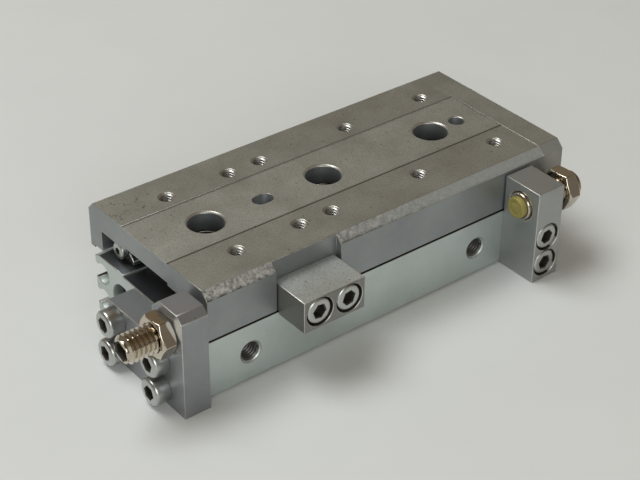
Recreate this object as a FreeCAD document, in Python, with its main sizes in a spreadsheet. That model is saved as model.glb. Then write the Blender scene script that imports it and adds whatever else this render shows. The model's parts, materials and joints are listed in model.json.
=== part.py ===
import FreeCAD, Part
import math
import os
import Sketcher

# Air slide table guided by crossed rollers, in millimetres.
# Frame: +X is the way the table runs out, +Z is up, and the origin is the middle
# mounting hole's axis on the underside of the cylinder body. The near side is -Y,
# with the air ports and the stops, and the far side is +Y, with the sensor grooves.

doc = FreeCAD.newDocument("RollerSlide")
sheet = doc.addObject("Spreadsheet::Sheet", "Sizes")
vector = FreeCAD.Vector
next_row = [1]


class Size:
    """A length that knows its value and the sheet expression that gives it."""

    def __init__(self, value, text):
        self.value = float(value)
        self.text = text

    def __add__(self, other):
        other = as_size(other)
        return Size(self.value + other.value, "(%s + %s)" % (self.text, other.text))

    def __sub__(self, other):
        other = as_size(other)
        return Size(self.value - other.value, "(%s - %s)" % (self.text, other.text))

    def __mul__(self, factor):
        return Size(self.value * factor, "(%s * %.9g)" % (self.text, factor))

    def __truediv__(self, factor):
        return Size(self.value / factor, "(%s / %.9g)" % (self.text, factor))

    def __neg__(self):
        return Size(-self.value, "(-1 * %s)" % self.text)

    def __radd__(self, other):
        return as_size(other) + self

    def __rsub__(self, other):
        return as_size(other) - self

    def __rmul__(self, factor):
        return self * factor


def as_size(amount):
    if isinstance(amount, Size):
        return amount
    return Size(amount, "%.9g" % amount)


def size(name, value):
    """One driving dimension: a cell of the sheet with an alias."""
    cell = "A%d" % next_row[0]
    next_row[0] += 1
    sheet.set(cell, str(value))
    sheet.setAlias(cell, name)
    return Size(value, "Sizes." + name)


# Threads are drawn plain, at their pitch radius, in the hole and on the screw alike.
m4_thread = size("m4_thread_radius", 1.77)
m4_clear = size("m4_clearance_radius", 2.2)
m4_head = size("m4_head_radius", 3.5)
m4_head_height = size("m4_head_height", 4.0)
m4_socket = size("m4_socket_across_flats", 3.0)
m3_thread = size("m3_thread_radius", 1.34)
m3_clear = size("m3_clearance_radius", 1.7)
m3_head = size("m3_head_radius", 2.75)
m3_head_height = size("m3_head_height", 3.0)
m3_socket = size("m3_socket_across_flats", 2.5)
m25_thread = size("m25_thread_radius", 1.1)
m25_head = size("m25_head_radius", 2.25)
m25_head_height = size("m25_head_height", 1.6)
m25_socket = size("m25_socket_across_flats", 2.0)
port_thread = size("port_thread_radius", 2.24)
port_mouth = size("port_mouth_radius", 2.95)
head_gap = size("gap_around_screw_heads", 0.15)
head_sink = size("depth_of_heads_below_face", 0.2)

# Crossed roller guide, from the middle outwards
roller_radius = size("roller_radius", 1.49)
roller_length = size("roller_length", 2.9)
roller_pitch = size("roller_pitch", 4.1)
groove_half = size("vee_half_diagonal", 2.15)
centre_rail_half = size("centre_rail_half_width", 7.7)
rail_gap = size("gap_between_rails", 1.2)
side_rail_width = size("side_rail_width", 8.8)
side_rail_height = size("side_rail_height", 5.0)
side_rail_setback = size("side_rail_setback", 2.0)
side_rail_front_setback = size("side_rail_front_setback", 6.44)
centre_rail_setback = size("centre_rail_setback", 6.4)
centre_rail_front_setback = size("centre_rail_front_setback", 2.6)
rail_access = size("centre_rail_access_radius", 4.7)
centre_screw_outset = size("outer_rail_screw_outset", 8.6)
side_screw_pitch = size("side_rail_screw_pitch", 30.0)
side_screw_offset = size("side_rail_screw_from_rail_face", 5.3)
side_screw_reach = size("side_rail_screw_length", 6.0)
end_screw_reach = size("rail_end_screw_length", 6.0)
cage_length = size("cage_length", 46.0)
cage_shift = size("cage_middle_behind_origin", 1.3)
cage_thickness = size("cage_thickness", 0.6)
cage_margin = size("cage_height_over_rail", 0.1)
window_clearance = size("cage_window_clearance", 0.09)
window_margin = size("cage_window_height_over_roller", 0.3)
roller_count = 11

# Heights, from the underside upwards
shelf_top = size("shelf_top_height", 17.2)
ledge_drop = size("near_ledge_drop", 1.4)
channel_depth = size("channel_depth", 0.6)
shelf_gap = size("gap_over_shelf", 0.6)
ledge_gap = size("gap_over_ledge", 0.55)
ceiling_gap = size("gap_over_centre_rail", 0.4)
centre_rail_height = size("centre_rail_height", 6.6)
roof = size("table_roof_thickness", 5.6)
strip_sink = size("top_strip_depth", 0.35)
table_chamfer = size("table_top_chamfer", 2.1)

# Widths, from the rails outwards
far_rail_gap = size("gap_beside_far_rail", 1.9)
far_wall = size("table_far_wall_thickness", 5.4)
lip_width_far = size("far_lip_width", 1.8)
lip_width_near = size("near_lip_width", 5.5)
body_side_gap = size("gap_beside_near_shelf", 0.3)
far_inset = size("body_far_side_inset", 4.6)
far_bevel_width = size("far_bevel_width", 1.8)
far_bevel_drop = size("far_bevel_drop", 0.7)
base_edge = size("body_lower_edge_chamfer", 0.5)

# Lengths, from the body's ends
body_length = size("body_length", 105.0)
body_rear_reach = size("body_rear_face_from_origin", 54.4)
table_rear_setback = size("table_rear_setback", 1.8)
table_front_gap = size("gap_behind_end_plate", 1.24)
plate_thickness = size("end_plate_thickness", 6.88)
plate_bottom = size("end_plate_bottom_height", 1.0)

# Body mounting holes
hole_pitch = size("mounting_hole_pitch", 35.4)
mount_hole = size("mounting_hole_radius", 2.75)
dowel = size("dowel_hole_radius", 2.0)
dowel_depth = size("dowel_hole_depth", 3.5)
dowel_slot = size("dowel_slot_length", 5.6)

# The two cylinder bores, the ports and the sensor grooves
bore_radius = size("bore_radius", 4.0)
bore_height = size("bore_axis_height", 9.2)
bore_near_reach = size("near_bore_from_centre", 10.2)
bore_far_reach = size("far_bore_from_centre", 8.6)
recess_radius = size("bore_end_recess_radius", 4.3)
recess_depth = size("bore_end_recess_depth", 4.0)
ring_radius = size("retaining_ring_radius", 4.8)
ring_hole = size("retaining_ring_hole_radius", 3.0)
ring_width = size("retaining_ring_width", 1.0)
ring_gap = size("retaining_ring_opening", 2.4)
port_height = size("port_axis_height", 8.0)
port_rear_inset = size("rear_port_inset", 13.5)
port_front_inset = size("front_port_inset", 20.9)
port_depth = size("port_thread_depth", 7.5)
air_passage = size("air_passage_radius", 1.25)
groove_radius = size("sensor_groove_radius", 2.75)
groove_inset = size("sensor_groove_inset", 3.1)
groove_mouth = size("sensor_groove_mouth_width", 4.0)
groove_upper_z = size("upper_sensor_groove_height", 12.35)
groove_lower_z = size("lower_sensor_groove_height", 4.75)

# Holes in the table's top, and the stopper's pocket
strip_near = size("top_strip_near_edge", 9.5)
strip_far = size("top_strip_far_edge", 10.2)
access_radius = size("access_hole_radius", 4.5)
tapped_row = size("tapped_row_from_centre", 14.5)
tapped_mouth = size("tapped_mouth_radius", 2.0)
tapped_inset_1 = size("first_tapped_hole_inset", 15.65)
tapped_inset_2 = size("second_tapped_hole_inset", 33.95)
tapped_inset_3 = size("third_tapped_hole_inset", 43.55)
tapped_inset_4 = size("fourth_tapped_hole_inset", 71.15)
tapped_inset_5 = size("fifth_tapped_hole_inset", 97.0)
pocket_inset = size("pocket_inset", 19.35)
pocket_length = size("pocket_length", 18.95)
pocket_depth = size("pocket_depth", 1.9)

# End plate
plate_side_screw_inset = size("end_plate_side_screw_inset", 2.8)
plate_top_screw_y = size("end_plate_top_screw_from_centre", 9.0)
plate_top_screw_drop = size("end_plate_top_screw_drop", 2.9)
plate_screw_reach = size("end_plate_screw_bite", 6.0)
load_hole_y = size("load_hole_from_centre", 16.5)
load_hole_low = size("lower_load_hole_height", 6.0)
load_hole_pitch = size("load_hole_pitch", 12.0)

# Stopper block on the table
stop_length = size("stopper_length", 17.8)
stop_reach = size("stopper_reach", 10.0)
stop_below = size("stopper_depth_below_plane", 4.9)
stop_above = size("stopper_height_above_plane", 3.55)
stop_screw_pitch = size("stopper_screw_pitch", 8.6)
stop_screw_drop = size("stopper_screw_drop", 0.55)
counterbore_gap = size("gap_around_heads_in_blocks", 0.33)
side_gap = size("side_running_gap", 0.25)
stop_screw_length = size("stopper_screw_length", 12.0)

# Rear adjuster plate on the cylinder body
rear_plate_thickness = size("rear_plate_thickness", 7.2)
rear_plate_far = size("rear_plate_far_edge_from_centre", 3.1)
rear_plate_reach = size("rear_plate_reach", 2.9)
rear_plate_drop = size("rear_plate_low_drop", 1.0)
leg_width = size("rear_leg_width", 11.9)
leg_above = size("rear_leg_above_axis", 7.1)
leg_near_chamfer = size("rear_leg_near_chamfer", 1.76)
leg_inner_chamfer = size("rear_leg_inner_chamfer", 3.0)
rear_screw_far_reach = size("rear_screw_far_from_centre", 0.6)
rear_screw_inset = size("rear_screw_near_inset", 8.7)
rear_screw_high = size("rear_screw_upper_height", 12.45)
rear_screw_low = size("rear_screw_lower_height", 4.25)
rear_screw_length = size("rear_screw_length", 16.0)

# Front adjuster block on the cylinder body
block_front_inset = size("front_block_inset", 3.4)
block_thickness = size("front_block_thickness", 8.6)
block_reach = size("front_block_reach", 12.2)
block_above = size("front_block_above_axis", 6.0)
block_relief = size("front_block_relief", 0.35)
block_screw_inset = size("front_block_screw_inset", 4.4)
block_screw_high = size("front_block_upper_screw_height", 12.5)
block_screw_low = size("front_block_lower_screw_height", 4.75)
block_screw_length = size("front_block_screw_length", 14.0)

# Adjusting screws, nuts and bumpers
adjuster_radius = size("adjuster_radius", 3.6)
adjuster_length = size("adjuster_length", 19.2)
adjuster_chamfer = size("adjuster_end_chamfer", 0.7)
adjuster_socket = size("adjuster_socket_across_flats", 4.0)
adjuster_socket_depth = size("adjuster_socket_depth", 5.0)
adjuster_fit = size("adjuster_running_clearance", 0.06)
nut_flats = size("nut_across_flats", 9.8)
nut_height = size("nut_height", 3.8)
front_nut_stand_off = size("front_nut_stand_off", 3.6)
bumper_radius = size("bumper_radius", 2.8)
bumper_seat = size("bumper_seat_depth", 3.0)
bumper_proud = size("bumper_proud_length", 1.4)
bumper_fit = size("bumper_clearance", 0.05)
contact_gap = size("contact_gap_at_stops", 0.1)
rear_axis_inset = size("rear_adjuster_inset", 3.7)
rear_axis_rise = size("rear_adjuster_above_plane", 0.8)
front_axis_reach = size("front_adjuster_reach", 6.1)
front_axis_rise = size("front_adjuster_above_plane", 0.1)
bumper_stand = size("front_bumper_stand", 2.0)

# Pistons and rods
rod_radius = size("rod_radius", 2.0)
piston_clearance = size("piston_clearance", 0.08)
piston_stand = size("piston_gap_from_head_cap", 5.2)
piston_length = size("piston_length", 10.0)
seal_groove_start = size("piston_seal_from_rear_face", 1.4)
seal_width = size("seal_width", 1.8)
seal_depth = size("seal_groove_depth", 1.02)
magnet_start = size("magnet_from_rear_face", 4.8)
magnet_width = size("magnet_width", 3.0)
magnet_depth = size("magnet_groove_depth", 1.32)
magnet_sink = size("magnet_below_piston_skin", 0.22)
cap_length = size("head_cap_length", 6.8)
cover_length = size("rod_cover_length", 14.6)
rod_fit = size("rod_running_clearance", 0.05)
rod_seal_depth = size("rod_seal_thickness", 1.2)
rod_seal_width = size("rod_seal_width", 2.0)
rod_screw_bite = size("rod_screw_bite", 6.0)

doc.recompute()

# Widths worked out from the sizes
side_rail_inner = centre_rail_half + rail_gap
side_rail_outer = side_rail_inner + side_rail_width
vee_mid = centre_rail_half + rail_gap / 2
vee_open = groove_half - rail_gap / 2
far_wall_inner = side_rail_outer + far_rail_gap
table_half = far_wall_inner + far_wall
near_side = table_half
far_side = table_half - far_inset
lip_far = table_half - lip_width_far
lip_near = table_half - lip_width_near
shelf_edge = lip_near - body_side_gap
groove_centre_y = far_side - groove_inset
side_screw_y = side_rail_inner + side_screw_offset
pocket_floor = table_half - pocket_depth
plate_side_screw_y = table_half - plate_side_screw_inset
stop_outer = table_half + stop_reach
rear_plate_near = near_side + rear_plate_reach
leg_inner = rear_plate_near - leg_width
block_outer = near_side + block_reach
bore_near_y = -bore_near_reach
bore_far_y = bore_far_reach
rear_screw_far_y = -rear_screw_far_reach
rear_screw_near_y = rear_screw_inset - rear_plate_near
rear_axis_y = rear_axis_inset - table_half
front_axis_y = -table_half - front_axis_reach

# Heights worked out from the sizes
ledge_top = shelf_top - ledge_drop
channel_floor = shelf_top - channel_depth
table_skirt = ledge_top + ledge_gap
side_rail_bottom = shelf_top + shelf_gap
guide_z = side_rail_bottom + side_rail_height / 2
rail_seat = guide_z + side_rail_height / 2
centre_rail_top = channel_floor + centre_rail_height
ceiling = centre_rail_top + ceiling_gap
table_top = ceiling + roof
strip_top = table_top - strip_sink
inner_skirt = side_rail_bottom - far_bevel_drop
plate_side_screw_z = guide_z
plate_top_screw_z = table_top - plate_top_screw_drop
cage_height = side_rail_height + cage_margin
stop_bottom = guide_z - stop_below
stop_top = guide_z + stop_above
stop_screw_z = guide_z - stop_screw_drop
rear_axis_z = guide_z + rear_axis_rise
front_axis_z = guide_z + front_axis_rise
rear_plate_low = shelf_top - rear_plate_drop
leg_top = rear_axis_z + leg_above
block_top = front_axis_z + block_above
counterbore = m4_head + counterbore_gap

# Lengths worked out from the sizes
body_rear = -body_rear_reach
body_front = body_length - body_rear_reach
table_rear = body_rear + table_rear_setback
table_front = body_front + table_front_gap
plate_front = table_front + plate_thickness
side_rail_rear = table_rear + side_rail_setback
side_rail_front = table_front - side_rail_front_setback
side_rail_length = side_rail_front - side_rail_rear
centre_rail_rear = body_rear + centre_rail_setback
centre_rail_front = body_front - centre_rail_front_setback
cage_start = -cage_shift - cage_length / 2
cage_window_width = (roller_radius + window_clearance) * 2
cage_window_height = (roller_radius + roller_length / 2) * math.sqrt(2) + window_margin
rear_plate_back = body_rear - rear_plate_thickness
block_front = body_front - block_front_inset
block_rear_x = block_front - block_thickness
block_screw_x = block_front - block_screw_inset
port_rear_x = body_rear + port_rear_inset
port_front_x = body_front - port_front_inset
cap_rear_x = body_rear + recess_depth
cap_front_x = cap_rear_x + cap_length
piston_rear_x = cap_front_x + piston_stand
cover_front_x = body_front - recess_depth
cover_rear_x = cover_front_x - cover_length
pocket_rear = table_rear + pocket_inset
pocket_front = pocket_rear + pocket_length
stop_rear = pocket_rear + side_gap
stop_front = stop_rear + stop_length
stop_centre_x = (stop_rear + stop_front) / 2
base_dowel_reach = hole_pitch / 2
rail_screw_inner = hole_pitch / 2
rail_screw_outer = hole_pitch + centre_screw_outset
side_screw_middle = (side_rail_rear + side_rail_front) / 2
magnet_core = bore_radius - piston_clearance - magnet_depth
magnet_radius = bore_radius - piston_clearance - magnet_sink
seal_core = bore_radius - seal_depth
cap_seal_core = bore_radius - seal_depth
rod_seal_radius = rod_radius + rod_seal_depth
front_tip = block_rear_x - bumper_stand
stroke = front_tip - stop_front - contact_gap
tapped_x = [table_rear + inset for inset in
            (tapped_inset_1, tapped_inset_2, tapped_inset_3, tapped_inset_4, tapped_inset_5)]
mount_x = [-hole_pitch, as_size(0), hole_pitch]
side_screws_x = [side_screw_middle - side_screw_pitch, side_screw_middle, side_screw_middle + side_screw_pitch]
bores = {"near": bore_near_y, "far": bore_far_y}
nodes = []


def keep(piece, label):
    """Give a finished piece its name and list it as a node."""
    piece.Label = label
    nodes.append(piece)
    return piece


def new_body(label):
    return keep(doc.addObject("PartDesign::Body", label), label)


def new_sketch(body, plane, offset):
    """A sketch on one of the body's own origin planes, moved along the plane's normal."""
    sketch = body.newObject("Sketcher::SketchObject", body.Name + "_sketch")
    for feature in body.Origin.OriginFeatures:
        if feature.Role == plane:
            sketch.AttachmentSupport = [(feature, "")]
    sketch.MapMode = "FlatFace"
    sketch.AttachmentOffset = FreeCAD.Placement(vector(0, 0, offset.value), FreeCAD.Rotation())
    sketch.setExpression("AttachmentOffset.Base.z", offset.text)
    return sketch


def pin_point(sketch, geometry, point, across, up):
    """Hold a sketch point at two sizes from the sketch's origin."""
    for kind, amount, axis in (("DistanceX", across, -2), ("DistanceY", up, -1)):
        if amount.text in ("0", "-0"):
            sketch.addConstraint(Sketcher.Constraint("PointOnObject", geometry, point, axis))
            continue
        index = sketch.addConstraint(Sketcher.Constraint(kind, -1, 1, geometry, point, amount.value))
        sketch.setExpression("Constraints[%d]" % index, amount.text)


def draw_outline(sketch, corners):
    """A closed outline of straight lines through corners given as pairs of sizes."""
    corners = [(as_size(across), as_size(up)) for across, up in corners]
    first = sketch.GeometryCount
    count = len(corners)
    for index in range(count):
        here = corners[index]
        there = corners[(index + 1) % count]
        start = vector(here[0].value, here[1].value, 0)
        end = vector(there[0].value, there[1].value, 0)
        sketch.addGeometry(Part.LineSegment(start, end), False)
    for index in range(count):
        following = first + (index + 1) % count
        sketch.addConstraint(Sketcher.Constraint("Coincident", first + index, 2, following, 1))
    for index in range(count):
        pin_point(sketch, first + index, 1, corners[index][0], corners[index][1])


def draw_circle(sketch, across, up, radius):
    across = as_size(across)
    up = as_size(up)
    circle = Part.Circle(vector(across.value, up.value, 0), vector(0, 0, 1), radius.value)
    index = sketch.addGeometry(circle, False)
    pin_point(sketch, index, 3, across, up)
    datum = sketch.addConstraint(Sketcher.Constraint("Radius", index, radius.value))
    sketch.setExpression("Constraints[%d]" % datum, radius.text)


def box_corners(low_across, high_across, low_up, high_up):
    return [(low_across, low_up), (high_across, low_up), (high_across, high_up), (low_across, high_up)]


PLANES = {"x": "YZ_Plane", "y": "XZ_Plane", "z": "XY_Plane"}


def extrude(body, axis, low, high, outlines=(), circles=(), cut=False, taper=0.0):
    """Pad or pocket drawn shapes along a row axis, from low to high.

    A pad starts at its low end along X and Z. The XZ plane's normal points to -Y,
    so along Y it starts at the high end. A pocket starts at the other end.
    """
    low = as_size(low)
    high = as_size(high)
    if axis == "y":
        offset = -low if cut else -high
    else:
        offset = high if cut else low
    sketch = new_sketch(body, PLANES[axis], offset)
    for corners in outlines:
        draw_outline(sketch, corners)
    for across, up, radius in circles:
        draw_circle(sketch, across, up, radius)
    kind = "PartDesign::Pocket" if cut else "PartDesign::Pad"
    feature = body.newObject(kind, body.Name + ("_pocket" if cut else "_pad"))
    feature.Profile = sketch
    feature.Length = high.value - low.value
    feature.setExpression("Length", (high - low).text)
    if taper:
        feature.TaperAngle = taper
    body.Tip = feature
    doc.recompute()
    return feature


def cut_along(body, axis, low, high, outlines=(), circles=(), taper=0.0):
    """Pocket that must take material away."""
    before = body.Shape.Volume
    feature = extrude(body, axis, low, high, outlines, circles, True, taper)
    if body.Shape.Volume > before - 1e-6:
        raise RuntimeError("a cut in %s removes nothing" % body.Label)
    return feature


def place(piece, where, turn=None):
    """Put a piece at a point given as sizes, turned by a rotation."""
    where = [as_size(amount) for amount in where]
    base = vector(where[0].value, where[1].value, where[2].value)
    piece.Placement = FreeCAD.Placement(base, turn or FreeCAD.Rotation())
    for letter, amount in zip("xyz", where):
        piece.setExpression("Placement.Base." + letter, amount.text)
    return piece


TURN = {
    "+x": FreeCAD.Rotation(vector(0, 1, 0), 90),
    "-x": FreeCAD.Rotation(vector(0, 1, 0), -90),
    "+y": FreeCAD.Rotation(vector(1, 0, 0), -90),
    "-y": FreeCAD.Rotation(vector(1, 0, 0), 90),
    "+z": FreeCAD.Rotation(),
    "-z": FreeCAD.Rotation(vector(1, 0, 0), 180),
}


def cylinder(name, radius, height, start=None):
    """A round bar up from the local origin, or from start along local Z."""
    piece = doc.addObject("Part::Cylinder", name)
    piece.setExpression("Radius", as_size(radius).text)
    piece.setExpression("Height", as_size(height).text)
    if start is not None:
        place(piece, (0, 0, start))
    return piece


def cone(name, lower, upper, height, start=None):
    piece = doc.addObject("Part::Cone", name)
    piece.setExpression("Radius1", as_size(lower).text)
    piece.setExpression("Radius2", as_size(upper).text)
    piece.setExpression("Height", as_size(height).text)
    if start is not None:
        place(piece, (0, 0, start))
    return piece


def hexagon(name, across_flats, height, start=None):
    piece = doc.addObject("Part::Prism", name)
    piece.Polygon = 6
    piece.setExpression("Circumradius", (across_flats / math.sqrt(3)).text)
    piece.setExpression("Height", as_size(height).text)
    if start is not None:
        place(piece, (0, 0, start))
    return piece


def fused(name, pieces):
    result = doc.addObject("Part::MultiFuse", name)
    result.Shapes = pieces
    return result


def cut_from(name, base, tool):
    result = doc.addObject("Part::Cut", name)
    result.Base = base
    result.Tool = tool
    return result


def group(label, pieces):
    """Separate solids that share one node."""
    result = doc.addObject("Part::Compound", label)
    result.Links = pieces
    return keep(result, label)


def socket_screw(name, where, turn, head_radius, head_height, shank_radius, shank_length, socket):
    """Socket head cap screw: where is the underside of its head, the turn's Z points out of the head."""
    head = cylinder(name + "_head", head_radius, head_height)
    shank = cylinder(name + "_shank", shank_radius, shank_length, -shank_length)
    blank = fused(name + "_blank", [head, shank])
    recess = hexagon(name + "_recess", socket, head_height / 2, head_height / 2)
    return place(cut_from(name, blank, recess), where, turn)


def socket_screws(label, places, turn, family, length):
    pieces = []
    for index, where in enumerate(places):
        pieces.append(socket_screw("%s_%d" % (label, index + 1), where, turn, family[0], family[1],
                                   family[2], length, family[3]))
    return group(label, pieces)


M4 = (m4_head, m4_head_height, m4_thread, m4_socket)
M3 = (m3_head, m3_head_height, m3_thread, m3_socket)
M25 = (m25_head, m25_head_height, m25_thread, m25_socket)


def make_cylinder_body():
    body = new_body("cylinder_body")
    profile = [
        (-near_side + base_edge, 0),
        (far_side - base_edge, 0),
        (far_side, base_edge),
        (far_side, shelf_top - far_bevel_drop),
        (far_side - far_bevel_width, shelf_top),
        (centre_rail_half, shelf_top),
        (centre_rail_half, channel_floor),
        (-centre_rail_half, channel_floor),
        (-centre_rail_half, shelf_top),
        (-shelf_edge, shelf_top),
        (-shelf_edge, ledge_top),
        (-near_side, ledge_top),
        (-near_side, base_edge),
    ]
    extrude(body, "x", body_rear, body_front, [profile])
    both = [(y, bore_height) for y in bores.values()]
    cut_along(body, "x", body_rear, body_front, circles=[(y, z, bore_radius) for y, z in both])
    ends = [(y, z, recess_radius) for y, z in both]
    cut_along(body, "x", body_rear, cap_rear_x, circles=ends)
    cut_along(body, "x", cover_front_x, body_front, circles=ends)
    rings = [(y, z, ring_radius) for y, z in both]
    cut_along(body, "x", cap_rear_x - ring_width, cap_rear_x, circles=rings)
    cut_along(body, "x", cover_front_x, cover_front_x + ring_width, circles=rings)
    for height in (groove_upper_z, groove_lower_z):
        cut_along(body, "x", body_rear, body_front, circles=[(groove_centre_y, height, groove_radius)])
        mouth = box_corners(groove_centre_y, far_side, height - groove_mouth / 2, height + groove_mouth / 2)
        cut_along(body, "x", body_rear, body_front, [mouth])
    ports = (port_rear_x, port_front_x)
    cut_along(body, "y", -near_side, port_depth - near_side,
              circles=[(x, port_height, port_thread) for x in ports])
    cut_along(body, "y", -near_side, port_mouth - port_thread - near_side,
              circles=[(x, port_height, port_mouth) for x in ports], taper=-45.0)
    cut_along(body, "y", -near_side, bore_far_y,
              circles=[(x, port_height, air_passage) for x in ports])
    cut_along(body, "z", 0, channel_floor, circles=[(x, 0, mount_hole) for x in mount_x])
    rail_screws = (-rail_screw_outer, -rail_screw_inner, rail_screw_inner, rail_screw_outer)
    cut_along(body, "z", channel_floor - m3_head_height * 2, channel_floor,
              circles=[(x, 0, m3_thread) for x in rail_screws])
    cut_along(body, "z", 0, dowel_depth, circles=[(base_dowel_reach, 0, dowel)])
    cut_slot(body, -base_dowel_reach, 0, dowel_depth)
    plate_screws = [(y, z, m4_thread) for y in (rear_screw_far_y, rear_screw_near_y)
                    for z in (rear_screw_low, rear_screw_high)]
    cut_along(body, "x", body_rear, body_rear + rear_screw_length - rear_plate_thickness,
              circles=plate_screws)
    block_screws = [(block_screw_x, z, m4_thread) for z in (block_screw_low, block_screw_high)]
    bite = block_screw_length - (block_outer - near_side - m4_head_height - head_sink)
    cut_along(body, "y", -near_side, bite - near_side, circles=block_screws)


def cut_slot(body, x, low, high):
    """Dowel slot along X, on the centre line."""
    half_run = dowel_slot / 2 - dowel
    cut_along(body, "z", low, high, [box_corners(x - half_run, x + half_run, -dowel, dowel)])
    cut_along(body, "z", low, high, circles=[(x - half_run, 0, dowel)])
    cut_along(body, "z", low, high, circles=[(x + half_run, 0, dowel)])


def make_centre_rail():
    body = new_body("centre_guide_rail")
    apex = vee_mid - groove_half
    profile = [
        (-centre_rail_half, channel_floor),
        (centre_rail_half, channel_floor),
        (centre_rail_half, guide_z - vee_open),
        (apex, guide_z),
        (centre_rail_half, guide_z + vee_open),
        (centre_rail_half, centre_rail_top),
        (-centre_rail_half, centre_rail_top),
        (-centre_rail_half, guide_z + vee_open),
        (-apex, guide_z),
        (-centre_rail_half, guide_z - vee_open),
    ]
    extrude(body, "x", centre_rail_rear, centre_rail_front, [profile])
    cut_along(body, "z", channel_floor, centre_rail_top, circles=[(x, 0, rail_access) for x in mount_x])
    screws = (-rail_screw_outer, -rail_screw_inner, rail_screw_inner, rail_screw_outer)
    seat = centre_rail_top - m3_head_height - head_sink
    cut_along(body, "z", seat, centre_rail_top, circles=[(x, 0, m3_head + head_gap) for x in screws])
    cut_along(body, "z", channel_floor, seat, circles=[(x, 0, m3_clear) for x in screws])
    socket_screws("centre_rail_screws", [(x, 0, seat) for x in screws], TURN["+z"], M3,
                  seat - channel_floor + m3_head_height * 2)


def make_side_rail(side, sign):
    """One of the table's rails: the far one is pushed in by set screws, the near one is seated."""
    body = new_body(side + "_guide_rail")
    apex = vee_mid + groove_half
    profile = [
        (side_rail_inner * sign, side_rail_bottom),
        (side_rail_outer * sign, side_rail_bottom),
        (side_rail_outer * sign, rail_seat),
        (side_rail_inner * sign, rail_seat),
        (side_rail_inner * sign, guide_z + vee_open),
        (apex * sign, guide_z),
        (side_rail_inner * sign, guide_z - vee_open),
    ]
    extrude(body, "x", side_rail_rear, side_rail_front, [profile])
    seat = side_rail_bottom + head_sink + m3_head_height
    cut_along(body, "z", side_rail_bottom, seat,
              circles=[(x, side_screw_y * sign, m3_head + head_gap) for x in side_screws_x])
    cut_along(body, "z", seat, rail_seat, circles=[(x, side_screw_y * sign, m3_clear) for x in side_screws_x])
    middle = (side_rail_inner + side_rail_outer) / 2 * sign
    for low, high in ((side_rail_rear, side_rail_rear + end_screw_reach),
                      (side_rail_front - end_screw_reach, side_rail_front)):
        cut_along(body, "x", low, high, circles=[(middle, guide_z, m25_thread)])


def make_rail_screws():
    seat = side_rail_bottom + head_sink + m3_head_height
    places = []
    for sign in (-1, 1):
        places.extend((x, side_screw_y * sign, seat) for x in side_screws_x)
    socket_screws("guide_rail_screws", places, TURN["-z"], M3, side_screw_reach)
    middle = (side_rail_inner + side_rail_outer) / 2
    ends = []
    for sign in (-1, 1):
        for x, way, tag in ((side_rail_rear, "-x", "rear"), (side_rail_front, "+x", "front")):
            name = "rail_end_screw_%s_%s" % ("near" if sign < 0 else "far", tag)
            ends.append(socket_screw(name, (x, middle * sign, guide_z), TURN[way], m25_head,
                                     m25_head_height, m25_thread, end_screw_reach, m25_socket))
    group("rail_end_screws", ends)
    sets = []
    reach = table_half - side_rail_outer - head_sink * 2
    for index, x in enumerate(side_screws_x):
        name = "preload_screw_%d" % (index + 1)
        bar = cylinder(name + "_bar", m3_thread, reach)
        recess = hexagon(name + "_recess", m3_socket * 0.6, reach / 3, reach * 2 / 3)
        sets.append(place(cut_from(name, bar, recess), (x, side_rail_outer, guide_z), TURN["+y"]))
    group("preload_set_screws", sets)


def make_cage(side, sign):
    """Thin strip with a window for every roller, and its crossed rollers."""
    body = new_body(side + "_roller_cage")
    inner = vee_mid - cage_thickness / 2
    outer = vee_mid + cage_thickness / 2
    low, high = (inner, outer) if sign > 0 else (-outer, -inner)
    strip = box_corners(cage_start, cage_start + cage_length, guide_z - cage_height / 2,
                        guide_z + cage_height / 2)
    extrude(body, "y", low, high, [strip])
    middle = cage_start + cage_length / 2
    first = middle - roller_pitch * ((roller_count - 1) / 2)
    windows = []
    for index in range(roller_count):
        x = first + roller_pitch * index
        windows.append(box_corners(x - cage_window_width / 2, x + cage_window_width / 2,
                                   guide_z - cage_window_height / 2, guide_z + cage_window_height / 2))
    cut_along(body, "y", low, high, windows)
    rollers = []
    for index in range(roller_count):
        lean = 45.0 if index % 2 else -45.0
        piece = cylinder("%s_roller_%d" % (side, index + 1), roller_radius, roller_length)
        half_across = roller_length * (math.sin(math.radians(lean)) / 2)
        half_up = roller_length * (math.cos(math.radians(lean)) / 2)
        start = (first + roller_pitch * index, vee_mid * sign + half_across, guide_z - half_up)
        rollers.append(place(piece, start, FreeCAD.Rotation(vector(1, 0, 0), lean)))
    group(side + "_rollers", rollers)


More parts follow.
